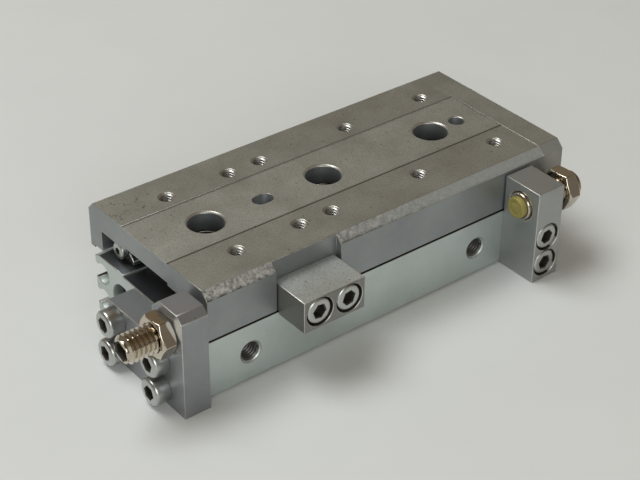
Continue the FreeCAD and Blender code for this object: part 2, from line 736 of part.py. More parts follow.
def make_table():
    body = new_body("table_plate")
    profile = [
        (-table_half, table_skirt),
        (-lip_near, table_skirt),
        (-lip_near, side_rail_bottom),
        (-side_rail_outer, side_rail_bottom),
        (-side_rail_outer, rail_seat),
        (-side_rail_inner, rail_seat),
        (-side_rail_inner, ceiling),
        (side_rail_inner, ceiling),
        (side_rail_inner, rail_seat),
        (far_wall_inner, rail_seat),
        (far_wall_inner, inner_skirt),
        (lip_far, inner_skirt),
        (lip_far, table_skirt),
        (table_half, table_skirt),
        (table_half, table_top - table_chamfer),
        (table_half - table_chamfer, table_top),
        (strip_far, table_top),
        (strip_far, strip_top),
        (-strip_near, strip_top),
        (-strip_near, table_top),
        (table_chamfer - table_half, table_top),
        (-table_half, table_top - table_chamfer),
    ]
    extrude(body, "x", table_rear, table_front, [profile])
    cut_along(body, "z", ceiling, strip_top, circles=[(x, 0, access_radius) for x in mount_x])
    rows = [(x, tapped_row * sign) for sign in (-1, 1) for x in tapped_x]
    cut_along(body, "z", rail_seat, table_top, circles=[(x, y, m4_thread) for x, y in rows])
    cut_along(body, "z", table_top - (tapped_mouth - m4_thread), table_top,
              circles=[(x, y, tapped_mouth) for x, y in rows], taper=-45.0)
    cut_along(body, "z", strip_top - dowel_depth, strip_top, circles=[(tapped_x[4], 0, dowel)])
    cut_slot(body, tapped_x[1], strip_top - dowel_depth, strip_top)
    pocket = box_corners(pocket_rear, pocket_front, -table_half, -pocket_floor)
    cut_along(body, "z", table_skirt, table_top, [pocket])
    cut_along(body, "y", -pocket_floor, -side_rail_outer,
              circles=[(x, stop_screw_z, m4_thread) for x in stop_screws_x()])
    rail_thread_top = rail_seat + side_screw_reach - (side_rail_height - m3_head_height - head_sink)
    cut_along(body, "z", rail_seat, rail_thread_top,
              circles=[(x, side_screw_y * sign, m3_thread) for sign in (-1, 1) for x in side_screws_x])
    cut_along(body, "y", far_wall_inner, table_half,
              circles=[(x, guide_z, m3_thread) for x in side_screws_x])
    cut_along(body, "x", table_front - plate_screw_reach, table_front,
              circles=[(y, z, m3_thread) for y, z in end_plate_screw_places()])


def stop_screws_x():
    return [stop_centre_x - stop_screw_pitch / 2, stop_centre_x + stop_screw_pitch / 2]


def end_plate_screw_places():
    places = []
    for sign in (-1, 1):
        places.append((plate_side_screw_y * sign, plate_side_screw_z))
        places.append((plate_top_screw_y * sign, plate_top_screw_z))
    return places


def make_end_plate():
    body = new_body("end_plate")
    profile = [
        (-table_half, plate_bottom),
        (table_half, plate_bottom),
        (table_half, table_top - table_chamfer),
        (table_half - table_chamfer, table_top),
        (table_chamfer - table_half, table_top),
        (-table_half, table_top - table_chamfer),
    ]
    extrude(body, "x", table_front, plate_front, [profile])
    seat = plate_front - m3_head_height - head_sink
    places = end_plate_screw_places() + [(y, bore_height) for y in bores.values()]
    cut_along(body, "x", table_front, plate_front, circles=[(y, z, m3_clear) for y, z in places])
    cut_along(body, "x", seat, plate_front, circles=[(y, z, m3_head + head_gap) for y, z in places])
    load_holes = [(load_hole_y * sign, z) for sign in (-1, 1) for z in (load_hole_low, load_hole_low + load_hole_pitch)]
    cut_along(body, "x", table_front, plate_front, circles=[(y, z, m4_thread) for y, z in load_holes])
    socket_screws("end_plate_screws", [(seat, y, z) for y, z in end_plate_screw_places()], TURN["+x"],
                  M3, seat - table_front + plate_screw_reach)
    socket_screws("rod_fixing_screws", [(seat, y, bore_height) for y in bores.values()], TURN["+x"],
                  M3, seat - table_front + rod_screw_bite)


def make_stopper():
    body = new_body("stopper_block")
    skin = -near_side - side_gap
    profile = [
        (-stop_outer, stop_bottom),
        (skin, stop_bottom),
        (skin, table_skirt),
        (-pocket_floor, table_skirt),
        (-pocket_floor, stop_top),
        (-stop_outer, stop_top),
    ]
    extrude(body, "x", stop_rear, stop_front, [profile])
    seat = m4_head_height + head_sink - stop_outer
    cut_along(body, "y", -stop_outer, seat, circles=[(x, stop_screw_z, counterbore) for x in stop_screws_x()])
    cut_along(body, "y", seat, -pocket_floor, circles=[(x, stop_screw_z, m4_clear) for x in stop_screws_x()])
    socket_screws("stopper_screws", [(x, seat, stop_screw_z) for x in stop_screws_x()], TURN["-y"], M4,
                  stop_screw_length)


def make_rear_plate():
    body = new_body("rear_adjuster_plate")
    profile = [
        (-rear_plate_near, 0),
        (rear_plate_far, 0),
        (rear_plate_far, rear_plate_low),
        (-leg_inner, rear_plate_low),
        (-leg_inner, leg_top - leg_inner_chamfer),
        (-leg_inner - leg_inner_chamfer, leg_top),
        (leg_near_chamfer - rear_plate_near, leg_top),
        (-rear_plate_near, leg_top - leg_near_chamfer),
    ]
    extrude(body, "x", rear_plate_back, body_rear, [profile])
    places = [(y, z) for y in (rear_screw_far_y, rear_screw_near_y) for z in (rear_screw_low, rear_screw_high)]
    cut_along(body, "x", rear_plate_back, body_rear, circles=[(y, z, m4_clear) for y, z in places])
    cut_along(body, "x", rear_plate_back, body_rear,
              circles=[(rear_axis_y, rear_axis_z, adjuster_radius + adjuster_fit)])
    socket_screws("rear_plate_screws", [(rear_plate_back, y, z) for y, z in places], TURN["-x"], M4,
                  rear_screw_length)


def make_front_block():
    body = new_body("front_adjuster_block")
    relief = -near_side - block_relief
    profile = [
        (-block_outer, 0),
        (-near_side, 0),
        (-near_side, ledge_top),
        (relief, ledge_top),
        (relief, block_top),
        (-block_outer, block_top),
    ]
    extrude(body, "x", block_rear_x, block_front, [profile])
    seat = m4_head_height + head_sink - block_outer
    heights = (block_screw_low, block_screw_high)
    cut_along(body, "y", -block_outer, seat, circles=[(block_screw_x, z, counterbore) for z in heights])
    cut_along(body, "y", seat, -near_side, circles=[(block_screw_x, z, m4_clear) for z in heights])
    bore = adjuster_radius + adjuster_fit
    cut_along(body, "x", block_rear_x, block_front, circles=[(front_axis_y, front_axis_z, bore)])
    socket_screws("front_block_screws", [(block_screw_x, seat, z) for z in heights], TURN["-y"], M4,
                  block_screw_length)


def make_nut(label, where, turn, fit):
    """Hexagon nut: where is its seat's centre, and the turn's Z points away from the seat."""
    blank = hexagon(label + "_blank", nut_flats, nut_height)
    spread = nut_height * math.sqrt(3)
    trim = cone(label + "_trim", nut_flats / 2 + spread, nut_flats / 2, nut_height)
    shaped = doc.addObject("Part::Common", label + "_shaped")
    shaped.Base = blank
    shaped.Tool = trim
    bore = cylinder(label + "_bore", adjuster_radius + fit, nut_height)
    return keep(place(cut_from(label, shaped, bore), where, turn), label)


def make_adjuster(side, tip, turn):
    """Adjusting screw with a socket at its outer end and a bumper set in its inner end.

    tip is the bumper's free face, and the turn's Z points from there to the outer end.
    """
    start = bumper_proud
    straight = adjuster_length - adjuster_chamfer * 2
    bar = cylinder(side + "_bar", adjuster_radius, straight, start + adjuster_chamfer)
    small = adjuster_radius - adjuster_chamfer
    inner = cone(side + "_inner_end", small, adjuster_radius, adjuster_chamfer, start)
    outer = cone(side + "_outer_end", adjuster_radius, small, adjuster_chamfer,
                 start + adjuster_length - adjuster_chamfer)
    blank = fused(side + "_screw_blank", [inner, bar, outer])
    seat = cylinder(side + "_bumper_hole", bumper_radius + bumper_fit, bumper_seat, start)
    recess = hexagon(side + "_socket", adjuster_socket, adjuster_socket_depth,
                     start + adjuster_length - adjuster_socket_depth)
    holes = doc.addObject("Part::Compound", side + "_screw_holes")
    holes.Links = [seat, recess]
    screw = cut_from(side + "_adjusting_screw", blank, holes)
    keep(place(screw, tip, turn), side + "_adjusting_screw")
    pad = cylinder(side + "_bumper", bumper_radius, bumper_seat + bumper_proud - bumper_fit)
    keep(place(pad, tip, turn), side + "_bumper")


def make_ring(label, x, y, outer, inner, width):
    """Plain ring on a bore axis, from x along +X."""
    tube = cut_from(label, cylinder(label + "_outer", outer, width), cylinder(label + "_inner", inner, width))
    return keep(place(tube, (x, y, bore_height), TURN["+x"]), label)


def make_retaining_ring(label, x, y):
    """Open ring that springs into the groove beyond a cap or cover."""
    full = cut_from(label + "_full", cylinder(label + "_outer", ring_radius, ring_width),
                    cylinder(label + "_inner", ring_hole, ring_width))
    slot = doc.addObject("Part::Box", label + "_slot")
    slot.setExpression("Length", ring_radius.text)
    slot.setExpression("Width", ring_gap.text)
    slot.setExpression("Height", ring_width.text)
    place(slot, (0, -ring_gap / 2, 0))
    return keep(place(cut_from(label, full, slot), (x, y, bore_height), TURN["+x"]), label)


def make_cylinder_inside(side, y):
    """Cap, cover, rings, seals, piston, magnet and rod of one bore."""
    groove = cylinder(side + "_cap_groove_outer", bore_radius, seal_width, cap_length / 2)
    core = cylinder(side + "_cap_groove_core", cap_seal_core, seal_width, cap_length / 2)
    cap = cut_from(side + "_head_cap", cylinder(side + "_cap_blank", bore_radius, cap_length),
                   cut_from(side + "_cap_groove", groove, core))
    keep(place(cap, (cap_rear_x, y, bore_height), TURN["+x"]), side + "_head_cap")
    make_ring(side + "_head_cap_seal", cap_rear_x + cap_length / 2, y, bore_radius, cap_seal_core, seal_width)
    make_retaining_ring(side + "_head_cap_ring", cap_rear_x - ring_width, y)

    bore = cylinder(side + "_cover_bore", rod_radius + rod_fit, cover_length)
    pocket = cylinder(side + "_cover_pocket", rod_seal_radius, rod_seal_width)
    cover = cut_from(side + "_rod_cover", cylinder(side + "_cover_blank", bore_radius, cover_length),
                     fused(side + "_cover_holes", [bore, pocket]))
    keep(place(cover, (cover_rear_x, y, bore_height), TURN["+x"]), side + "_rod_cover")
    make_ring(side + "_rod_seal", cover_rear_x, y, rod_seal_radius, rod_radius + rod_fit, rod_seal_width)
    make_retaining_ring(side + "_rod_cover_ring", cover_front_x, y)

    skirt = bore_radius - piston_clearance
    seal_cut = cut_from(side + "_seal_cut", cylinder(side + "_seal_cut_outer", skirt, seal_width, seal_groove_start),
                        cylinder(side + "_seal_cut_core", seal_core, seal_width, seal_groove_start))
    magnet_cut = cut_from(side + "_magnet_cut", cylinder(side + "_magnet_cut_outer", skirt, magnet_width, magnet_start),
                          cylinder(side + "_magnet_cut_core", magnet_core, magnet_width, magnet_start))
    rod_hole = cylinder(side + "_rod_hole", rod_radius, piston_length)
    holes = doc.addObject("Part::Compound", side + "_piston_holes")
    holes.Links = [seal_cut, magnet_cut, rod_hole]
    piston = cut_from(side + "_piston", cylinder(side + "_piston_blank", skirt, piston_length), holes)
    keep(place(piston, (piston_rear_x, y, bore_height), TURN["+x"]), side + "_piston")
    make_ring(side + "_piston_seal", piston_rear_x + seal_groove_start, y, bore_radius - piston_clearance / 2,
              seal_core, seal_width)
    make_ring(side + "_piston_magnet", piston_rear_x + magnet_start, y, magnet_radius, magnet_core, magnet_width)

    rod_length = table_front - piston_rear_x
    tapped = cylinder(side + "_rod_thread", m3_thread, rod_screw_bite, rod_length - rod_screw_bite)
    rod = cut_from(side + "_piston_rod", cylinder(side + "_rod_blank", rod_radius, rod_length), tapped)
    keep(place(rod, (piston_rear_x, y, bore_height), TURN["+x"]), side + "_piston_rod")


make_cylinder_body()
make_centre_rail()
for side, y in bores.items():
    make_cylinder_inside(side, y)
make_rear_plate()
make_nut("rear_lock_nut", (rear_plate_back, rear_axis_y, rear_axis_z), TURN["-x"], adjuster_fit)
make_front_block()
make_table()
make_end_plate()
make_stopper()
for side, sign in (("near", -1), ("far", 1)):
    make_side_rail(side, sign)
    make_cage(side, sign)
make_rail_screws()
make_adjuster("rear", (table_rear - contact_gap, rear_axis_y, rear_axis_z), TURN["-x"])
make_adjuster("front", (front_tip, front_axis_y, front_axis_z), TURN["+x"])
make_nut("front_lock_nut", (block_front + front_nut_stand_off, front_axis_y, front_axis_z), TURN["+x"], 0)
doc.recompute()

for item in doc.Objects:
    if "Invalid" in item.State or "Error" in item.State:
        raise RuntimeError("%s failed: %s" % (item.Name, item.State))
os.makedirs("parts", exist_ok=True)
for node in nodes:
    shape = node.Shape
    if shape.isNull() or not shape.isValid() or not shape.Solids:
        raise RuntimeError("%s has no valid shape" % node.Label)
    shape.exportStep("parts/%s.step" % node.Label)
print("%d nodes" % len(nodes))
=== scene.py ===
import json
import math

import bmesh
import bpy
from mathutils import Matrix, Vector


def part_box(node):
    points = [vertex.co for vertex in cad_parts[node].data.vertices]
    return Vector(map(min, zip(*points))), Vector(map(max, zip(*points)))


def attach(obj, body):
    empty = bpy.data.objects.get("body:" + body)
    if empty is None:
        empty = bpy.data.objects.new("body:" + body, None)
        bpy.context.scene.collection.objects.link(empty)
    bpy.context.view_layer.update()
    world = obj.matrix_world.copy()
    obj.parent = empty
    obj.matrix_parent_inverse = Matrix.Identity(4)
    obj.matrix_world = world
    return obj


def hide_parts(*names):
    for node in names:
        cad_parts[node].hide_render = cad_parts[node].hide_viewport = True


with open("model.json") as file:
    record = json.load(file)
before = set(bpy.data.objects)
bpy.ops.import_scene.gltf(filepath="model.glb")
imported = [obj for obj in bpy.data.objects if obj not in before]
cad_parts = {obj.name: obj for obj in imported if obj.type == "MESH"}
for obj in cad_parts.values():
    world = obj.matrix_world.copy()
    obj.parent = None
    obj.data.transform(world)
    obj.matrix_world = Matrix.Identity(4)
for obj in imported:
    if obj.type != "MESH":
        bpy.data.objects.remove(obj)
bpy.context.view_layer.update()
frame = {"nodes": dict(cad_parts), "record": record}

# Camera
# It stands behind the slide's near corner, at the height of someone who looks down on a bench,
# with the long lens of a phone's close-up.
MM = 0.001
camera_data = bpy.data.cameras.new("camera")
camera_data.lens = 92.08
camera_data.sensor_width = 36.0
camera = bpy.data.objects.new("camera", camera_data)
camera.location = Vector((-216.28, -270.47, 240.80)) * MM
camera.rotation_euler = [math.radians(angle) for angle in (56.236, -0.457, -38.235)]
bpy.context.scene.collection.objects.link(camera)
bpy.context.scene.camera = camera
bpy.context.scene.view_settings.view_transform = "Standard"


# Bench and light
# A pale painted bench, matt, with faint smudges, under a ceiling panel and a window on the
# camera's side. The room's ceiling is dim and brown, and metal that faces up reflects it.
def linear(hex_colour):
    """A colour written as sRGB hex, as the linear values that a shader takes."""
    channels = [int(hex_colour[start:start + 2], 16) / 255 for start in (1, 3, 5)]
    return [c / 12.92 if c <= 0.04045 else ((c + 0.055) / 1.055) ** 2.4 for c in channels] + [1.0]


def add_node(tree, kind, settings=None, links=None):
    """One shader node, with its settings and what feeds its sockets."""
    node = tree.nodes.new(kind)
    for name, value in (settings or {}).items():
        if isinstance(name, int) or name in node.inputs:
            node.inputs[name].default_value = value
        else:
            setattr(node, name, value)
    for name, output in (links or {}).items():
        tree.links.new(output, node.inputs[name])
    return node


def new_material(name):
    """An empty material: itself, its tree, its output node and its object's coordinates."""
    material = bpy.data.materials.new(name)
    material.use_nodes = True
    tree = material.node_tree
    tree.nodes.clear()
    place = add_node(tree, "ShaderNodeTexCoord").outputs["Object"]
    return material, tree, add_node(tree, "ShaderNodeOutputMaterial"), place


bpy.ops.mesh.primitive_plane_add(size=6.0)
bench = bpy.context.object
bench.name = "bench"
bench_paint, tree, output, place = new_material("painted_bench")
smudges = add_node(tree, "ShaderNodeTexNoise", {"Scale": 1 / (45 * MM), "Detail": 4.0, "Roughness": 0.6},
                   {"Vector": place})
tone = add_node(tree, "ShaderNodeMix", {"data_type": "RGBA", 6: linear("#d6d8d7"), 7: linear("#dee0df")},
                {0: smudges.outputs["Fac"]})
paint = add_node(tree, "ShaderNodeBsdfPrincipled", {"Roughness": 0.55}, {"Base Color": tone.outputs[2]})
tree.links.new(paint.outputs[0], output.inputs[0])
bench.data.materials.append(bench_paint)

world = bpy.data.worlds.new("room")
bpy.context.scene.world = world
world.use_nodes = True
tree = world.node_tree
tree.nodes.clear()
direction = add_node(tree, "ShaderNodeTexCoord").outputs["Generated"]
height = add_node(tree, "ShaderNodeSeparateXYZ", links={0: direction})
room = add_node(tree, "ShaderNodeValToRGB", links={0: height.outputs["Z"]})
room.color_ramp.elements[0].color = linear("#8a8985")
room.color_ramp.elements[1].color = linear("#6b5a44")
for where, shade in ((0.45, "#9c9284"), (0.7, "#8d7d66")):
    room.color_ramp.elements.new(where).color = linear(shade)
backdrop = add_node(tree, "ShaderNodeBackground", {"Strength": 0.7}, {"Color": room.outputs["Color"]})
add_node(tree, "ShaderNodeOutputWorld", links={0: backdrop.outputs[0]})


def add_light(name, size, energy, colour, where):
    """A soft rectangular light that points at the slide."""
    light = bpy.data.lights.new(name, "AREA")
    light.shape = "RECTANGLE"
    light.size, light.size_y = size
    light.energy = energy
    light.color = colour
    lamp = bpy.data.objects.new(name, light)
    lamp.location = where
    lamp.rotation_euler = (-lamp.location).to_track_quat("-Z", "Y").to_euler()
    bpy.context.scene.collection.objects.link(lamp)


add_light("ceiling_panel", (0.8, 0.6), 10.4, (0.97, 1.0, 1.0), (-0.32, 0.36, 1.15))
add_light("window", (0.8, 0.6), 5.2, (0.94, 0.99, 1.0), (-0.55, -0.95, 0.55))


# Cylinder body and air port threads
# One block of aluminium, milled, blasted and clear anodised to a matt grey, with edges that have
# worn brighter than its faces. Two M5 x 0.8 ports are drilled and tapped in its near side, and
# their threads show as dark and bright turns, coloured dark as painted shade deep in the holes.
# Its top under the table and its lower edge's chamfer are coloured dark, as painted shade.
def make_active(piece):
    """Selects one piece and nothing else."""
    bpy.ops.object.select_all(action="DESELECT")
    piece.select_set(True)
    bpy.context.view_layer.objects.active = piece


def working_copy(node_name, name):
    """A copy of a CAD solid that can be worked on, its loose triangles merged into flat faces."""
    copy = bpy.data.objects.new(name, frame["nodes"][node_name].data.copy())
    bpy.context.scene.collection.objects.link(copy)
    copy.data.materials.clear()
    make_active(copy)
    bpy.ops.object.mode_set(mode="EDIT")
    bpy.ops.mesh.select_all(action="SELECT")
    bpy.ops.mesh.remove_doubles(threshold=0.002 * MM)
    bpy.ops.mesh.dissolve_limited(angle_limit=math.radians(0.5))
    bpy.ops.object.mode_set(mode="OBJECT")
    return copy


def apply_modifier(piece, kind, settings):
    """Adds one modifier to a piece and applies it."""
    make_active(piece)
    modifier = piece.modifiers.new(kind.lower(), kind)
    for name, value in settings.items():
        setattr(modifier, name, value)
    bpy.ops.object.modifier_apply(modifier=modifier.name)


def cut(piece, cutter, operation="DIFFERENCE"):
    """Cuts one mesh out of another, and takes the cutter away."""
    apply_modifier(piece, "BOOLEAN", {"object": cutter, "operation": operation, "solver": "EXACT"})
    bpy.data.objects.remove(cutter)


def break_edges(piece, width, angle=30.0):
    """Rounds the sharp edges in the piece's second material, and keeps its flat faces flat."""
    level, sharp = 0.01, 0.5
    apply_modifier(piece, "BEVEL", {"width": width, "segments": 2, "limit_method": "ANGLE",
                                    "angle_limit": math.radians(angle), "material": 1,
                                    "use_clamp_overlap": False})
    bpy.ops.object.shade_smooth_by_angle(angle=math.radians(35))
    mesh = bmesh.new()
    mesh.from_mesh(piece.data)
    for face in mesh.faces:
        beside = [other for edge in face.edges for other in edge.link_faces
                  if other is not face and other.material_index == 0]
        curved = any(level < face.normal.angle(other.normal, 0) < sharp for other in beside)
        if face.material_index == 0 and not curved:
            face.smooth = False
    mesh.to_mesh(piece.data)
    mesh.free()


def anodised(name, grey, stain, roughness):
    """Matt clear anodising on blasted aluminium: a fine grain, faint stains, a few dark specks."""
    grain_width, grain_depth, stain_width, speck_spacing = 0.35 * MM, 0.012 * MM, 16 * MM, 3.2 * MM
    material, tree, output, place = new_material(name)
    grain = add_node(tree, "ShaderNodeTexNoise", {"Scale": 1 / grain_width, "Detail": 2.0},
                     {"Vector": place})
    stains = add_node(tree, "ShaderNodeTexNoise",
                      {"Scale": 1 / stain_width, "Detail": 6.0, "Roughness": 0.65}, {"Vector": place})
    stained = add_node(tree, "ShaderNodeMapRange", {"From Min": 0.35, "From Max": 0.7},
                       {"Value": stains.outputs["Fac"]})
    tone = add_node(tree, "ShaderNodeMix", {"data_type": "RGBA", 6: linear(grey), 7: linear(stain)},
                    {0: stained.outputs[0]})
    specks = add_node(tree, "ShaderNodeTexVoronoi", {"Scale": 1 / speck_spacing}, {"Vector": place})
    speck = add_node(tree, "ShaderNodeMapRange", {"From Min": 0.05, "From Max": 0.035, "To Max": 0.75},
                     {"Value": specks.outputs["Distance"]})
    rare = add_node(tree, "ShaderNodeSeparateColor", links={0: specks.outputs["Color"]})
    chosen = add_node(tree, "ShaderNodeMath", {"operation": "GREATER_THAN", 1: 0.6}, {0: rare.outputs[0]})
    spot = add_node(tree, "ShaderNodeMath", {"operation": "MULTIPLY"},
                    {0: speck.outputs[0], 1: chosen.outputs[0]})
    colour = add_node(tree, "ShaderNodeMix", {"data_type": "RGBA", 7: linear("#2c2b29")},
                      {0: spot.outputs[0], 6: tone.outputs[2]})
    gloss = add_node(tree, "ShaderNodeMapRange", {"To Min": roughness - 0.05, "To Max": roughness + 0.07},
                     {"Value": stains.outputs["Fac"]})
    relief = add_node(tree, "ShaderNodeBump", {"Strength": 0.35, "Distance": grain_depth},
                      {"Height": grain.outputs["Fac"]})
    metal = add_node(tree, "ShaderNodeBsdfPrincipled", {"Metallic": 0.85},
                     {"Base Color": colour.outputs[2], "Roughness": gloss.outputs[0],
                      "Normal": relief.outputs[0]})
    tree.links.new(metal.outputs[0], output.inputs[0])
    return material


def worn_edge(name, dark, light):
    """Aluminium where edges have rubbed: brighter and smoother than the anodised faces."""
    material, tree, output, place = new_material(name)
    rub = add_node(tree, "ShaderNodeTexNoise", {"Scale": 1 / (2.5 * MM), "Detail": 5.0, "Roughness": 0.7},
                   {"Vector": place})
    tone = add_node(tree, "ShaderNodeMix", {"data_type": "RGBA", 6: linear(dark), 7: linear(light)},
                    {0: rub.outputs["Fac"]})
    metal = add_node(tree, "ShaderNodeBsdfPrincipled", {"Metallic": 0.9, "Roughness": 0.36},
                     {"Base Color": tone.outputs[2]})
    tree.links.new(metal.outputs[0], output.inputs[0])
    return material


def paint(piece, *materials):
    """Gives a piece its materials: its faces' first, then its edges' or sockets', then others."""
    for material in materials:
        piece.data.materials.append(material)


def find_mount(name):
    """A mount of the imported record."""
    return next(mount for mount in frame["record"]["mounts"] if mount["name"] == name)


def bar(radius, start, length, sides=64):
    """A round or many-sided bar up the Z axis from a height."""
    bpy.ops.mesh.primitive_cylinder_add(vertices=sides, radius=radius, depth=length)
    bpy.context.object.data.transform(Matrix.Translation((0, 0, start + length / 2)))
    return bpy.context.object


def aim(where, direction):
    """The transform that takes the origin to a place and +Z to a direction."""
    return Matrix.Translation(where) @ direction.to_track_quat("Z", "Y").to_matrix().to_4x4()


def drill(piece, radius, depth, where, direction, sides=48):
    """Cuts a round hole into a piece, from a little outside its mouth."""
    overrun = 0.2 * MM
    cutter = bar(radius, -depth, depth + overrun, sides)
    cutter.data.transform(aim(where, direction))
    cut(piece, cutter)


def thread_ridge(name, root, crest, pitch, turns, material):
    """The helical ridge of a thread up the Z axis, from root radius to crest radius."""
    half_root, half_crest = pitch * 0.44, pitch * 0.07
    bpy.ops.mesh.primitive_circle_add(vertices=4, radius=root)
    ridge = bpy.context.object
    ridge.name = name
    profile = ((root, -half_root), (crest, -half_crest), (crest, half_crest), (root, half_root))
    for vertex, (radius, height) in zip(ridge.data.vertices, profile):
        vertex.co = (radius, 0, height)
    apply_modifier(ridge, "SCREW", {"axis": "Z", "angle": 2 * math.pi, "screw_offset": pitch,
                                    "iterations": turns, "steps": 32, "render_steps": 32})
    bpy.ops.object.mode_set(mode="EDIT")
    bpy.ops.mesh.select_all(action="SELECT")
    bpy.ops.mesh.remove_doubles(threshold=0.001 * MM)
    bpy.ops.mesh.select_mode(type="EDGE")
    bpy.ops.mesh.select_all(action="DESELECT")
    bpy.ops.mesh.select_non_manifold(extend=False)
    bpy.ops.mesh.edge_face_add()
    bpy.ops.mesh.select_all(action="SELECT")
    bpy.ops.mesh.normals_make_consistent(inside=False)
    bpy.ops.object.mode_set(mode="OBJECT")
    bpy.ops.object.shade_smooth_by_angle(angle=math.radians(35))
    paint(ridge, material)
    return ridge


def stand(model, name, where, direction, turn=0.0):
    """A copy of a modelled piece at its place, with its +Z turned to where it points."""
    copy = bpy.data.objects.new(name, model.data.copy())
    bpy.context.scene.collection.objects.link(copy)
    copy.data.transform(aim(where, direction) @ Matrix.Rotation(turn, 4, "Z"))
    return copy


def tapped_wall(name, dark, light):
    """The cut flanks of a tapped hole: bare aluminium, bright where clean and dark where oily."""
    material, tree, output, place = new_material(name)
    marks = add_node(tree, "ShaderNodeTexNoise", {"Scale": 1 / (0.5 * MM), "Detail": 3.0},
                     {"Vector": place})
    tone = add_node(tree, "ShaderNodeMix", {"data_type": "RGBA", 6: linear(dark), 7: linear(light)},
                    {0: marks.outputs["Fac"]})
    metal = add_node(tree, "ShaderNodeBsdfPrincipled", {"Metallic": 1.0, "Roughness": 0.4},
                     {"Base Color": tone.outputs[2]})
    tree.links.new(metal.outputs[0], output.inputs[0])
    return material


def repaint(piece, material, test, instead_of=0):
    """Gives the faces that pass the test another of the piece's materials, in place of one slot's."""
    slot_number = piece.data.materials.find(material.name)
    for face in piece.data.polygons:
        if face.material_index == instead_of and test(face):
            face.material_index = slot_number


EDGE = 0.16 * MM
body_anodising = anodised("matt_anodised_body", "#cdd5d2", "#c1c9c6", 0.46)
dull_edge = worn_edge("rounded_aluminium_edge", "#8f8e8a", "#b9b7b0")
# Anodising darkened as painted shade, for faces that lie in shade.
shade_darkened_anodising = anodised("anodising_darkened_for_painted_shade", "#55575a", "#47494b", 0.34)
cylinder_body = working_copy("cylinder_body", "machined_cylinder_body")
paint(cylinder_body, body_anodising, dull_edge, shade_darkened_anodising)
NEAR, UP = Vector((0, -1, 0)), Vector((0, 0, 1))
REAR, FRONT = Vector((-1, 0, 0)), Vector((1, 0, 0))
near_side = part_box("cylinder_body")[0].y
port_major, port_minor, port_pitch = 2.5 * MM, 2.07 * MM, 0.8 * MM
port_depth, port_thread_depth = 7.4 * MM, 7.1 * MM
channel_floor, lower_edge = 10 * MM, 1 * MM
# Painted shade: the ports' thread colours are dark, for the shade deep inside the holes.
port_wall = tapped_wall("tapped_aluminium_darkened_for_shade", "#4a4845", "#83817d")
port_thread = thread_ridge("port_thread_model", port_major, port_minor, port_pitch, 8, port_wall)
for end in ("rear", "front"):
    mouth = Vector(find_mount(end + "_air_port")["pos_m"])
    mouth.y = near_side
    drill(cylinder_body, port_major, port_depth, mouth, NEAR)
    thread = stand(port_thread, end + "_port_thread", mouth - NEAR * port_thread_depth, NEAR)
    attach(thread, "cylinder_base")
bpy.data.objects.remove(port_thread)
break_edges(cylinder_body, EDGE)
# Painted shade: the top under the table gets the dark anodising, for the shade it lies in.
repaint(cylinder_body, shade_darkened_anodising, lambda face: face.normal.z > 0.99 and face.center.z > channel_floor)
# Painted shade: the lower edge's chamfer gets the dark anodising, for the shade where it meets the bench.
repaint(cylinder_body, shade_darkened_anodising,
        lambda face: -0.9 < face.normal.z < -0.5 and face.center.z < lower_edge)
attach(cylinder_body, "cylinder_base")
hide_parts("cylinder_body")


# Cylinder insides
# Turned aluminium caps and pistons, brass rod covers, rubber seals and black spring rings close
# and fill the two bores. Only the caps and rings show, deep in the bores' ends.
def finish(material, *node_names):
    """Gives CAD nodes whose shape is already right their finish."""
    for name in node_names:
        frame["nodes"][name].data.materials.clear()
        frame["nodes"][name].data.materials.append(material)


def turned(name, dark, light, metallic, roughness):
    """Turned metal: fine tool lines round the X axis, drawn as bands along it."""
    line = 3 * MM
    material, tree, output, place = new_material(name)
    lines = add_node(tree, "ShaderNodeTexWave", {"Scale": 1 / line, "Distortion": 2.0, "Detail": 3.0,
                                                 "Detail Scale": 3.0}, {"Vector": place})
    tone = add_node(tree, "ShaderNodeMix", {"data_type": "RGBA", 6: linear(dark), 7: linear(light)},
                    {0: lines.outputs["Fac"]})
    relief = add_node(tree, "ShaderNodeBump", {"Strength": 0.3, "Distance": 0.01 * MM},
                      {"Height": lines.outputs["Fac"]})
    metal = add_node(tree, "ShaderNodeBsdfPrincipled", {"Metallic": metallic, "Roughness": roughness},
                     {"Base Color": tone.outputs[2], "Normal": relief.outputs[0]})
    tree.links.new(metal.outputs[0], output.inputs[0])
    return material


def moulded(name, dark, light, roughness):
    """Rubber, bonded magnet and the painted shade in sockets: a fine even grain and a bloom in patches."""
    grain, patch = 0.25 * MM, 3 * MM
    material, tree, output, place = new_material(name)
    pores = add_node(tree, "ShaderNodeTexNoise", {"Scale": 1 / grain, "Detail": 2.0}, {"Vector": place})
    bloom = add_node(tree, "ShaderNodeTexNoise", {"Scale": 1 / patch, "Detail": 3.0}, {"Vector": place})
    tone = add_node(tree, "ShaderNodeMix", {"data_type": "RGBA", 6: linear(dark), 7: linear(light)},
                    {0: bloom.outputs["Fac"]})
    relief = add_node(tree, "ShaderNodeBump", {"Strength": 0.3, "Distance": 0.02 * MM},
                      {"Height": pores.outputs["Fac"]})
    skin = add_node(tree, "ShaderNodeBsdfPrincipled", {"Roughness": roughness},
                    {"Base Color": tone.outputs[2], "Normal": relief.outputs[0]})
    tree.links.new(skin.outputs[0], output.inputs[0])
    return material


def on_both_sides(*names):
    """The near and the far node of each kind."""
    return [side + "_" + name for name in names for side in ("near", "far")]


